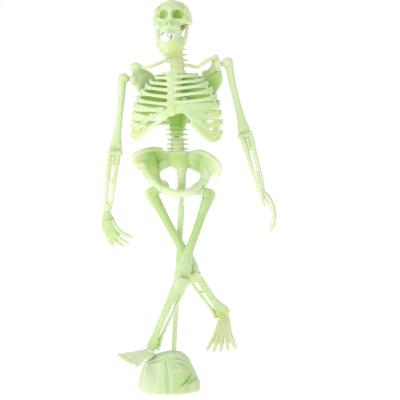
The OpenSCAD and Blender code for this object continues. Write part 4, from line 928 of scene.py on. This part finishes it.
# %% [markdown]
# ## Arms
# A ball with a stem sits in each shoulder and hip: the ball spreads in its cup and the stem turns in the
# limb. Little of it can be seen, so a sphere and a bar are enough.

# %% Ball pegs
for side, q in SIDES:
    clay = bmesh.new()
    ball(clay, UPPER[side], (0, 0, 0), (3.2, 3.2, 3.2))
    rod(clay, UPPER[side], (0, 0, 0), (q * 11.1, 0, 0), 1.6)
    mould(f"shoulder_peg_{side}", clay, body=f"shoulder_{side}", slot="pin", voxel=0.25, polish=2,
          reach=1.0)
    clay = bmesh.new()
    ball(clay, THIGH[side], (0, 0, 0), (4.5, 4.5, 4.5))
    rod(clay, THIGH[side], (0, 0, 0), (q * 13, 0, 0), 2.2)
    mould(f"hip_peg_{side}", clay, body=f"hip_{side}", slot="pin", voxel=0.25, polish=2, reach=1.0)

# %% [markdown]
# The upper arm has a round head, a slim shaft and a flared lower end with a tongue for the elbow. One
# sweep gives the shaft and the flare. The left one mirrors the right.

# %% Humerus
REACH = 8.5
for side, q in SIDES:
    clay, cut = bmesh.new(), bmesh.new()
    place = UPPER[side]
    arm = place @ Matrix.Translation((q * REACH, 0, 0))
    ball(clay, arm, (-q * 0.4, 0, 0.6), (5.6, 5.4, 5.2))
    tube(clay, arm, [
        (q * 0.4, 0, 1, 4.8, 4.6), (q * 0.2, 0, 8, 3.9, 3.9), (-q * 0.6, 0, 20, 3.4, 3.3),
        (-q * 0.8, 0, 40, 3.3, 3.1), (-q * 0.8, 0, 54, 3.8, 3.2), (-q * 0.8, 0, 61, 4.7, 3.4),
        (-q * 1.0, 0, 66.0, 6.0, 3.6), (-q * 0.8, 0, 69.0, 5.8, 3.2)], sides=16, steps=4)
    rod(clay, arm, (-2.6, 0, HUMERUS), (2.6, 0, HUMERUS), 3.8)
    slab(clay, arm, (-2.6, -3.0, HUMERUS - 7), (2.6, 3.0, HUMERUS))
    rod(cut, place, (0, 0, 0), (q * 11.5, 0, 0), 1.72)
    rod(cut, arm, (-9, 0, HUMERUS), (9, 0, HUMERUS), 1.2)
    # The pool paints shade on the elbow end
    mould(f"upper_arm_{side}", clay, cut, voxel=0.34, polish=4, reach=2.2,
          pools=[(arm, (0, 0, 70), (12, 8, 6), 0.25, 0.1)])

# %% [markdown]
# The forearm is two thin bones that meet at webs and at the wrist, with two ears round the upper arm's
# tongue. It is one moulding, and the elbow's pin is part of its ears here.

# %% Forearms
EAR = 2.4
WEBS = {"right": ((3.4, 12.5), (26.8, 29.4)), "left": ((3.4, 15.6), (38.8, 52))}
for side, q in SIDES:
    clay, cut = bmesh.new(), bmesh.new()
    place = FORE[side]
    for s, long in ((q, 3.4), (-q, 5.2)):
        ball(clay, place, (s * (EAR + long * 0.42), 0, -0.2), (long * 0.72, 3.9, 4.0))
        rod(clay, place, (s * EAR, 0, 0), (s * (EAR + long * 0.6), 0, 0), 3.7)
    tube(clay, place, [
        (q * 4.0, 0, 0, 1.7, 3.4), (q * 3.9, 0, 7, 2.6, 3.1), (q * 3.5, 0, 16, 2.3, 2.5),
        (q * 3.4, 0, 32, 2.1, 2.2), (q * 2.9, 0, 46, 2.2, 2.3), (q * 1.5, 0, 56, 2.4, 2.5)], sides=12)
    tube(clay, place, [
        (-q * 4.0, 0, 0, 1.7, 3.4), (-q * 3.9, 0, 7, 2.7, 3.3), (-q * 3.5, 0, 18, 2.3, 2.5),
        (-q * 3.3, 0, 34, 2.0, 2.1), (-q * 2.9, 0, 47, 2.0, 2.1), (-q * 1.8, 0, 56.5, 2.2, 2.4)], sides=12)
    for low, high in WEBS[side]:
        tube(clay, place, [
            (0, 0, low, 3.2, 2.2), (0, 0, low + 1, 3.2, 3.0), (0, 0, high - 1, 3.0, 2.4),
            (0, 0, high, 3, 1.4)], sides=14, steps=1)
    rod(clay, place, (0, 0, 50.8), (0, 0, 57.4), 3.3)
    rod(cut, place, (-EAR, 0, 0), (EAR, 0, 0), 3.8)
    # Pools paint shade at the elbow and light toward the wrist; the right forearm is tinted yellow
    mould(f"forearm_{side}", clay, cut, also=(f"elbow_pin_{side}",), voxel=0.32, polish=4, reach=1.8,
          pools=[(place, (0, 0, 14), (10, 10, 14), 0.0, 0.3 if q < 0 else 0.0),
                 (place, (0, 0, -2), (12, 8, 5), 0.25, 0.1), (place, (0, 0, 50), (12, 12, 26), -0.2, 0.0)])

# %% [markdown]
# ## Hands
# The hands hang with the fingers curling toward the thighs: a short palm, a thumb and four fingers that
# lie almost together. Each finger is a sweep through five points, and a web fills the gaps between them.

# %% Hands
FINGER_R = (2.2, 2.1, 2.1, 1.9, 1.3)
# How each hand's pool paints shade: a little deeper on the right, painted light, paler, on the left
HAND_PAINTED_SHADE = {"right": 0.08, "left": -0.26}


def hand(side, palm, across, fingers, thumb, web):
    """A hand from palm, fingers, thumb and the web between the fingers, as stations from the wrist."""
    clay = bmesh.new()
    place = FORE[side] @ Matrix.Translation((0, 0, FOREARM + 0.3))
    rod(clay, place, (0, 0, -6), (0, 0, 3), 1.45)
    tube(clay, place, palm, across, 16, 4)
    for finger in fingers:
        tube(clay, place, [(*p, r) for p, r in zip(finger, FINGER_R)], (0, 1, 0), 12, 3)
    tube(clay, place, thumb, (0, 1, 0), 12, 3)
    tube(clay, place, web, across, 16, 3)
    mould(f"hand_{side}", clay, voxel=0.32, polish=7, reach=1.8,
          pools=[(place, (-2, 0, 20), (18, 16, 34), HAND_PAINTED_SHADE[side], 0.0)])

# %% [markdown]
# The right hand is seen from the side, so its fingers fan out one below the other. Every finger has its
# own points.

# %% Right hand
hand("right", palm=[(0.0, 0, -1.8, 2.9, 2.6), (0.0, 0, 0.6, 3.5, 2.9), (0.3, 0, 4.2, 4.6, 3.0),
                    (1.0, 0, 9.2, 5.6, 2.9), (2.8, 0, 14.2, 6.3, 2.6), (4.6, 0, 19, 6, 2)],
     across=(1, 0, 0),
     fingers=[[(5.4, 1.2, 8.2), (10.6, 2, 14.2), (16, 2, 18.6), (23, 1.4, 21.2), (28.0, 0.4, 22.8)],
              [(3.8, 0.6, 11.2), (8.6, 1, 19.2), (14, 1, 24.2), (20.4, 0.6, 27.2), (25.4, 0, 28.8)],
              [(2, -0.4, 13.2), (6, -0.2, 22.2), (11, -0.4, 27.6), (17, -0.8, 30.8), (21.6, -1.2, 32.2)],
              [(-0.4, -1.4, 13), (2, -1.6, 21.4), (5, -1.9, 27.4), (8, -2.2, 31.2), (10.6, -2.6, 33.0)]],
     thumb=[(3.4, -1.6, 3.2, 1.9, 1.8), (6.4, -4, 8.2, 1.9, 1.8), (9.4, -5.4, 13.2, 1.7, 1.7),
            (12.4, -6, 18.6, 1.2, 1.2)],
     web=[(2.2, 0.4, 9, 6.2, 3.2), (3.8, 0.4, 14, 6.8, 3.1), (6.2, 0.4, 19, 7.2, 2.8),
          (9.4, 0.4, 23, 6.6, 2.3), (12.2, 0.2, 25.4, 5.0, 1.2)])

# %% [markdown]
# The left hand is seen edge-on: its fingers lie behind each other, so one curve with a small shift for
# each finger is enough.

# %% Left hand
LEFT_CURVE = ((5.0, 9.7), (6.5, 17.2), (6.0, 25.8), (3.2, 33.8), (-1.6, 40.2))
FINGER_LESS = (0, -1.5, 0, 4)
LEFT_FINGERS = [[(x + 0.3 * i - 0.4, (1.5 - i) * (3.1 + 0.25 * k), z - FINGER_LESS[i] * k / 4)
                 for k, (x, z) in enumerate(LEFT_CURVE)] for i in range(4)]
hand("left", palm=[(0.2, 0, -1.8, 2.8, 2.7), (0.6, 0, 0.6, 3.5, 3.1), (1.2, 0, 2.4, 4.0, 3.1),
                   (2.8, 0, 5.2, 5.2, 3.2), (4.4, 0, 9, 6.4, 3.2), (5.8, 0, 13.2, 6.8, 3.0)],
     across=(0, 1, 0),
     fingers=LEFT_FINGERS,
     thumb=[(0.4, 2.2, 2.6, 2.0, 1.9), (-1.2, 4.4, 7.2, 1.9, 1.8), (-1.6, 5.6, 12.6, 1.8, 1.7),
            (-0.8, 6, 17.2, 1.2, 1.2)],
     web=[(4.8, 0, 10, 6.4, 2.8), (6.4, 0, 17.2, 6.6, 2.7), (6.0, 0, 25.8, 6.4, 2.5),
          (3.4, 0, 33, 5.8, 2.2), (1.2, 0, 36.6, 4.6, 1.5)])

# %% [markdown]
# ## Pelvis
# Two flared wings with rolled rims meet the sacrum behind, and a ring runs from there to the pubic arch in
# front. A post in the middle turns on the rod's pin. The right wing is broader than the left, so both are
# written out.

# %% Pelvis
HIP_X, HIP_Y = 19.5, -10.0
RING = [(-4, 8.4, 27.0, 4.4), (-18, 7.0, 24.6, 4.8), (-27.4, 1.2, 18.0, 5.4), (-26.6, -4.4, 10.0, 5.2),
        (-20.4, -11.6, 2.8, 4.6), (-11.8, -18, -1.4, 4.0), (-4.6, -21.4, -3.4, 3.7), (2, -22.2, -3.9, 3.6),
        (9, -20.4, -2.4, 3.8), (16.6, -13.6, 2.2, 4.4), (22.0, -5.4, 9.8, 4.8), (21.0, 1.4, 18.4, 5.0),
        (10, 7.4, 25.4, 4.6), (-2, 8.4, 27.0, 4.4)]
clay, cut = bmesh.new(), bmesh.new()
tube(clay, PELVIS, RING, (0, -0.7, 0.7), 18, 4)
# The right and the left wing, and the pillars that run down from them to the hips
tube(clay, PELVIS, [
    (-2, 9.4, 29.4, 4.6, 4.0), (-12, 9, 29.2, 7.2, 4.2), (-20, 7.6, 28.6, 9.8, 4.2),
    (-31, 2.8, 27.4, 12.4, 3.0), (-40, -2.4, 26.4, 11.2, 3.0), (-46, -6.4, 26, 8.2, 3.2),
    (-49.4, -8.6, 25.2, 4.4, 2.2)], (0, 0, 1), 20, 5)
tube(clay, PELVIS, [
    (-10, 9.4, 29.4, 4.6, 4.0), (0, 9, 29.0, 7.2, 4.2), (8, 7.6, 28.8, 9.6, 4.2),
    (16, 3.4, 28.0, 11.6, 3.0), (24, -1.6, 26, 10.8, 3.0), (31, -5.8, 23.6, 8.8, 3.2),
    (35.6, -8.6, 20.4, 6.6, 2.8), (38, -10, 18.6, 3.4, 2.2)], (0, 0, 1), 20, 5)
tube(clay, PELVIS, [
    (-44, -5, 21.6, 3.4, 4.0), (-37.6, -5.6, 20.6, 4.2, 5.2), (-33, -8, 15.4, 4.4, 6.0),
    (-28.6, -11.4, 10.4, 4.2, 5.6), (-23.6, -15, 5.2, 3.6, 4.4), (-16.4, -18.6, -0.6, 3.5, 3.4)],
    (0, 0, 1), 16, 4)
tube(clay, PELVIS, [
    (-36, 0.6, 32, 7, 1.6), (-35, -1.4, 25, 9, 3.0), (-32.6, -5.4, 18, 8, 4.8), (-29, -9.2, 11, 6.2, 5.2),
    (-25.4, -12, 6.4, 3.6, 4.0)], (1, 0, 0), 16, 4)
tube(clay, PELVIS, [
    (22, 1.4, 32, 7, 1.6), (23.6, -0.6, 25, 8.4, 3.0), (24.0, -3.4, 18, 5.6, 4.2),
    (22.8, -6.0, 11, 4.6, 4.2)], (1, 0, 0), 16, 4)
ball(clay, PELVIS, (34.6, -9, 17.6), (3.6, 3.8, 4.8))

# %% [markdown]
# The hip cups are balls cut open at the side, so that the pegs can spread. The wings get rolled rims, and
# the post gets its hole for the pin and its seat for the spine. Long polishing melts the lumps into one
# soft sheet.

# %% Pelvis joints
for q in (-1, 1):
    ball(clay, PELVIS, (q * 17.2, HIP_Y, 1.6), (6.2, 6.4, 6.6))
    ball(cut, PELVIS, (q * HIP_X, HIP_Y, 0), (5.0, 5.0, 5.0))
    rod(cut, PELVIS, (q * 21, HIP_Y, 0), (q * 42, HIP_Y, 0), 5.6)
slab(cut, PELVIS, (21, -30, -20), (42, -3.6, 0))
slab(cut, PELVIS, (-42, -14, -20), (-21, -3.6, 0))
# Rolled rims of the wings
tube(clay, PELVIS, [
    (-9, 8.4, 34, 2.4), (-20, 6, 36.2, 2.8), (-31, 1.4, 37.0, 2.8), (-39.6, -3.6, 34.4, 2.8),
    (-45.4, -7, 30.4, 2.8), (-47.8, -8, 25, 2.6), (-44, -6.4, 20, 2.6)], (0, 1, 0), 12, 4)
tube(clay, PELVIS, [
    (2, 8.4, 33.4, 2.4), (9, 6.4, 36, 2.8), (16, 2.6, 36.8, 2.8), (24, -2.4, 34.2, 2.8),
    (31, -6.4, 29.6, 2.8), (35.8, -8.8, 24.4, 2.6), (37.2, -9.6, 19.4, 2.4)], (0, 1, 0), 12, 4)
# The post with the sacrum above it, the bridge to the pubic arch, and a spike on the right
tube(clay, PELVIS, [
    (-0.6, 0.2, -0.6, 4.3, 4.2), (-1.2, 0.4, 10, 4.3, 4.2), (-1.6, 1.2, 17, 4.8, 4.4),
    (-2.6, 4, 22, 7.4, 5), (-5, 6.6, 27, 11, 5.2), (-7.4, 7.6, 32, 11.6, 5.8),
    (-8.1, 7.4, 36.8, 9.6, 6.0)], sides=18, steps=4)
tube(clay, PELVIS, [
    (-0.4, -2, 1.6, 4.4, 4.2), (0.6, -10, -0.4, 4.6, 2.6), (1.4, -20, -2.4, 4.6, 2.2)], (1, 0, 0), 14)
tube(clay, PELVIS, [
    (-16.4, -14.6, 1.6, 2.2, 1.8), (-15.4, -14.2, 4.4, 1.6, 1.4), (-14.4, -13.8, 6.8, 0.8, 0.8)],
    (1, 0, 0), 10)
# The pin's hole and the spine's seat
rod(cut, PELVIS, (0, 0, -12), (0, 0, 14.5), 2.2)
slab(cut, SEAT, (-14, -12, 0), (14, 16, 14))
# Painted shade in the wings' hollows and before the post; painted light on the pubic arch and wing tips
mould("pelvis", clay, cut, voxel=0.42, polish=36, reach=3.0,
      pools=[(PELVIS, (-29, 0, 28), (11, 18, 17), 0.34, 0.0),
             (PELVIS, (-33, -4, 17), (13, 16, 11), 0.14, 0.4),
             (PELVIS, (15, 0, 24), (9, 16, 15), 0.2, 0.1), (PELVIS, (-6, 2, 27), (16, 10, 9), 0.05, 0.5),
             (PELVIS, (0, -8, 0), (8, 9, 7), 0.3, 0.0), (PELVIS, (0, -24, -3), (26, 8, 8), -0.15, 0.1),
             (PELVIS, (-46, -6, 26), (12, 14, 16), -0.15, 0.25),
             (PELVIS, (36, -8, 20), (12, 14, 16), -0.2, 0.15)])

# %% [markdown]
# ## Legs
# Each thigh bone has a big knob beside the hip, a shaft that leans in toward the knee and a flared end
# with two knuckles that hold the knee's tongue. The knee's pin is part of the knuckles here.

# %% Thighs
for side, q in SIDES:
    clay, cut = bmesh.new(), bmesh.new()
    place = THIGH[side]
    # Knob, neck, shaft and knuckles
    ball(clay, place, (q * 11.2, 0, 3.0), (5.2, 5.2, 7.4), (0, -q * 12, 0))
    ball(clay, place, (q * 7.4, 0, 2.6), (4.6, 4.8, 4.8))
    tube(clay, place, [
        (q * 10.6, 0, 2, 5.6, 5.0), (q * 9.2, 0, 9, 5.5, 5.0), (q * 7.4, 0, 20, 4.5, 4.4),
        (q * 5.4, 0.2, 33, 4.0, 4.0), (q * 3.2, 0.4, 47, 4.0, 4.0), (q * 1.0, 0.2, 60, 4.7, 4.5),
        (0, 0, 68, 6.2, 5.2), (0, 0, 74, 7.6, 5.8), (0, 0, 79, 8.0, 6.0), (0, 0, FEMUR, 7.0, 6.0)],
        sides=20, steps=4)
    rod(clay, place, (q * 3.2, 0, 0), (q * 12, 0, 0), 4.4)
    rod(clay, place, (-6.4, 0, FEMUR), (6.4, 0, FEMUR), 6.0)
    for s in (-1, 1):
        ball(clay, place, (s * 4.6, 0, FEMUR - 1), (3.4, 6.0, 6.2))
    # The hip peg's hole, and the slot for the shin's tongue
    rod(cut, place, (0, 0, 0), (q * 13.4, 0, 0), 2.32)
    rod(cut, place, (-2.6, 0, FEMUR), (2.6, 0, FEMUR), 5.0)
    slab(cut, place, (-2.6, -12, FEMUR), (2.6, 3.4, FEMUR + 12))
    slab(cut, place, (-2.6, -12, FEMUR - 2), (2.6, 0, FEMUR + 12))
    # Painted shade behind the hip knob and the knee, and a deeper green along the shaft
    mould(f"thigh_{side}", clay, cut, also=(f"knee_pin_{side}",), voxel=0.36, polish=5, reach=2.6,
          pools=[(place, (q * 9, 6, 6), (9, 8, 14), 0.12, 0.15),
                 (place, (q * 4, 0, 30), (16, 16, 60), 0.26, 0.0),
                 (place, (0, 6, FEMUR + 1), (10, 6, 4), 0.3, 0.1)])

# %% [markdown]
# The shin is a strong bone and a thin one side by side, with a tongue between the thigh's knuckles and a
# lip in front that covers the knee. On the right the ankle is fuller and a small bridge joins the two
# bones.

# %% Shins
LIP = 5.9
for side, q in SIDES:
    clay, cut = bmesh.new(), bmesh.new()
    place = CALF[side]
    # Tongue, strong bone, lip over the knee, thin bone and ankle
    rod(clay, place, (-2.2, 0, 0), (2.2, 0, 0), 4.6)
    slab(clay, place, (-2.2, -3.2, 0), (2.2, 3.2, 8.4))
    tube(clay, place, [
        (0, 0.6, 6.7, 7.2, 5.2), (0, 0.6, 8.8, 7.2, 5.3), (-q * 1.2, 0.4, 12, 5.2, 4.8),
        (-q * 2.2, 0.4, 18, 3.9, 4.0), (-q * 2, 0.3, 30, 3.8, 3.8), (-q * 2, 0.2, 45, 3.6, 3.5),
        (-q * 1.6, 0, 62, 3.6, 3.4), (-q * 0.8, 0, 72, 4.6, 4.2), (-q * 0.6, 0, 78.6, 5.0, 4.2)], sides=18,
        steps=4)
    tube(clay, place, [
        (0, 5.6, -2.6, 5.8, 1.8), (0, 5.2, 0.4, 7.5, 2.8), (0, 4.2, 4.6, 7.9, 3.8),
        (-q * 0.4, 2.6, 9, 6.6, 4.4), (-q * 1.4, 1.4, 13, 4.6, 4.2), (-q * 2.2, 0.6, 18, 3.6, 3.6)],
        sides=18, steps=3)
    tube(clay, place, [
        (q * 6.0, 0.4, 8.6, 2.2, 2.2), (q * 6.9, 0.2, 15, 1.9, 1.9), (q * 6.6, -0.6, 40, 1.7, 1.7),
        (q * 5.6, -0.4, 62, 1.9, 1.9), (q * 5.8, 0, 74, 2.4, 2.3), (q * 7.2, 0, 80.2, 1.8, 2.0)], sides=12)
    ball(clay, place, (5.4, 0.4, 76.6), (3.4, 3.6, 3.2))
    if q < 0:
        tube(clay, place, [
            (1.8, 0, 52, 3.6, 3.4), (3.2, 0.2, 62, 4.6, 3.8), (4.8, 0.3, 71, 5.6, 4.2),
            (5.4, 0.4, 76.6, 4.8, 3.8)], sides=16)
        rod(clay, place, (-q * 1.5, 0, 35.5), (q * 6, -0.8, 35.5), 1.3)
    rod(clay, place, (0, 0, 69.5), (0, 0, 79.3), 4.3)
    # Room for the knuckles, and the foot peg's hole
    for s in (-1, 1):
        rod(cut, place, (s * 2.5, 0, 0), (s * 14, 0, 0), LIP)
    slab(cut, place, (-2.7, 3.3, -9), (2.7, LIP - 0.2, 4))
    rod(cut, place, (0, 0, 71.5), (0, 0, 90), 1.92)
    # Painted shade behind the knee's lip and a little on the ankle and shaft; the right ankle is tinted yellow
    mould(f"shin_{side}", clay, cut, voxel=0.36, polish=4, reach=2.2,
          pools=[(place, (3, 2, 77), (13, 12, 11), 0.12, 0.9 if q < 0 else 0.1),
                 (place, (0, 2, 10), (10, 8, 9), 0.05, 0.15), (place, (0, 6, -3), (10, 5, 3), 0.35, 0.1),
                 (place, (0, 0, 40), (14, 14, 56), 0.12, 0.0)])

# %% [markdown]
# ## Feet
# A foot is a heel, an instep and five rays that lie side by side and part into toes. A loop lays the rays
# out: spread and reach are given for each foot, because the two are turned differently.

# %% Feet
TOE_SHORT = (1.5, 0, 0.5, 2.5, 6)
TOE_SPREAD = {"right": 7.8, "left": 5.0}
TOE_REACH = {"right": 41.0, "left": 40.0}
BIG_TOE, TOE = 2.5, 2.1
for side, q in SIDES:
    clay = bmesh.new()
    place = FOOT[side]
    # Peg, collar, heel, instep and rays
    rod(clay, place, (0, 0, -7), (0, 0, 2), 1.8)
    rod(clay, place, (0, 0, 0.5), (0, 0, 3.4), 4.1)
    sole = place @ Matrix.Rotation(math.radians(-FOOT_LIFT[side]), 4, "X")
    tube(clay, sole, [
        (0, 0, 1.4, 4.2, 3.8), (0, -1.5, 6, 5.0, 5.4), (0, -6, 10, 4.2, 5), (0, -8, 13, 3, 4)], sides=16,
        steps=4)
    tube(clay, sole, [
        (0, 2, 6, 4.8, 3), (0, 12, 8.2, 6.2, 2.8), (0, 18, 9.2, 7.2, 2.0), (0, 21, 9.8, 6, 1.0)],
        (1, 0, 0), 16, 3)
    for i in range(5):
        x = q * (i - 2) * TOE_SPREAD[side]
        y = TOE_REACH[side] - TOE_SHORT[i]
        r = TOE if i else BIG_TOE
        tube(clay, sole, [
            (x * 0.26, 1, 5.5, 2.6, 2.8), (x * 0.42, y * 0.34, 7.6, r * 1.1, r + 0.6),
            (x * 0.62, y * 0.58, 9.8, r * 0.95, r * 1.1), (x * 0.74, y * 0.70, 10.7, r * 1.2, r * 1.25),
            (x * 0.86, y * 0.82, 11.2, r * 0.85, r * 0.85), (x * 0.95, y * 0.91, 11.7, r * 1.05, r * 1.0),
            (x, y, 12.0, r * 0.5, r * 0.5)], (1, 0, 0), 12, 3)
    # Painted light pales the feet, partly in shade; the right one is tinted yellow
    mould(f"foot_{side}", clay, voxel=0.32, polish=3, reach=1.6,
          pools=[(place, (0, 18, 8), (30, 44, 26), -0.62 if q < 0 else -0.55, 0.4 if q < 0 else 0.1)])

# %% [markdown]
# ## Stand
# The rod is a tapered bar, thickest near its upper end, where the thinner pin comes out. A plain sweep and
# a bar are all it takes.

# %% Rod and pin
ROD_SEAT = 21.0
rod_base = PELVIS.inverted() @ (Vector((2.6, 0, 0)) * MM)
low = rod_base.z + ROD_SEAT
clay = bmesh.new()
tube(clay, PELVIS, [
    (0, 0, low, 2.4), (0, 0, low + 20, 2.4), (0, 0, -19.4, 3.1), (0, 0, -18.6, 3.1), (0, 0, -17.1, 2.3)],
    sides=32, steps=1)
mould("support_rod", clay, body="stand", slot="stand", voxel=0.3, polish=2, reach=1.2)
clay = bmesh.new()
rod(clay, PELVIS, (0, 0, -25.5), (0, 0, 13.8), 2.05)
mould("rod_pin", clay, body="stand", slot="stand", voxel=0.25, polish=2, reach=1.2)

# %% [markdown]
# The rock is one big broken stone with a lower block at its foot. Carving it from a ball would leave it
# round, so its corners are written down, and each crack as a line of places seen from the front with a
# width and a depth.

# %% Rock points
ROCK = [(-30.6, 2, 0), (-26, -17, 0), (-12, -27.4, 0), (4, -28.6, 0), (17, -24, 0), (28, -12, 0),
        (31, 4, 0), (26, 19, 0), (10, 28.4, 0), (-10, 28.6, 0), (-25, 19, 0), (-30, 0, 9), (-25, -17.4, 9),
        (-11.4, -27.0, 8), (30, 2, 8), (-25.8, 2, 24), (-21.4, -12, 27.6), (-9, -21, 29.4), (-24, 14, 24),
        (-8, 24.4, 27), (-14.6, 4, 33.4), (-12.6, -8.6, 33.2), (-5.4, -14.2, 35.6), (4, -13.6, 36.8),
        (2.6, 5, 37.2), (-4, 16, 34), (11.4, -9, 35.2), (12, 8, 35.4), (19, -3, 30), (19.4, 9, 29),
        (14, 20, 25), (22.6, 0, 23.4), (24.6, -2, 15.4), (20.6, -13.6, 18), (12.4, -21.6, 24),
        (4, -24.6, 23.4), (14.6, -23.4, 10)]
BLOCK = [(15.4, -24, 0), (27.4, -17, 0), (31, -7.6, 0), (15, -22.6, 7.4), (24.6, -18.4, 9.6),
         (30, -8.6, 9.4), (20, -8, 15), (26, -2, 12), (18, -4, 0)]
CRACKS = (((-2.8, 30.8, 1.3, 1.8), (-2.4, 28.4, 1.0, 0.9), (-1.8, 22, 2.4, 0.8), (-1.2, 14, 2.8, 0.9),
           (-0.6, 7, 2.4, 0.7), (0, 2, 1.4, 0.4)),
          ((22.6, 18.4, 0.6, 0.8), (20.6, 15.6, 1.3, 1.6), (17.4, 12.4, 1.4, 1.9), (13.2, 9.2, 1.2, 1.4),
           (10.6, 7, 0.6, 0.5)),
          ((-21, 27.4, 0.6, 0.4), (-15.4, 29.4, 1.6, 1.0), (-9.6, 31.4, 1.6, 1.1), (-5, 33.4, 1.0, 0.6)),
          ((0.4, 33.4, 0.6, 0.4), (6, 33.4, 1.4, 0.9), (12, 32.0, 1.4, 1.0), (17, 28.4, 0.7, 0.5)),
          ((4, 29.8, 0.6, 0.4), (9.6, 29.2, 1.4, 0.8), (15, 26.6, 1.3, 0.9), (18.6, 22.6, 0.6, 0.4)))
print("rock points", len(ROCK) + len(BLOCK), "cracks", len(CRACKS))

# %% [markdown]
# A tight hull over the corners gives flat broken faces. The cracks are laid on it by casting rays from the
# front, and cut as thin sweeps.

# %% Rock
def hull(clay, spots):
    """The broken-stone shape that a tight skin over these points makes."""
    verts = [bmesh.ops.create_vert(clay, co=WORLD @ Vector(p))["vert"][0] for p in spots]
    made = bmesh.ops.convex_hull(clay, input=verts)
    loose = [g for g in made["geom_interior"] if isinstance(g, bmesh.types.BMVert)]
    bmesh.ops.delete(clay, geom=loose, context="VERTS")


clay, cut = bmesh.new(), bmesh.new()
hull(clay, ROCK)
hull(clay, BLOCK)
stone = BVHTree.FromBMesh(clay)
for crack in CRACKS:
    line = []
    for x, z, wide, deep in crack:
        hit = stone.ray_cast(WORLD @ Vector((x, -60, z)), Vector((0, 1, 0)))[0]
        if hit:
            line.append((x, hit.y / MM, z, wide, deep))
    tube(cut, WORLD, line, (1, 0, 0), 10, 4)
slab(cut, WORLD, (-60, -60, -20), (60, 60, 0))
mould("rock_base", clay, cut, body="stand", slot="stand", voxel=0.5, polish=5, reach=2.6,
      pools=[(WORLD, (-18, -18, 14), (16, 16, 20), -0.2, 0.0),
             (WORLD, (16, -18, 14), (14, 14, 16), 0.12, 0.1)])

# %% [markdown]
# ## Sizes
# The finished pieces must fill the same box as the frame's parts; here the number of mouldings and their
# faces is printed.

# %% Sizes
print("mouldings", len(face_counts), "faces", sum(face_counts))
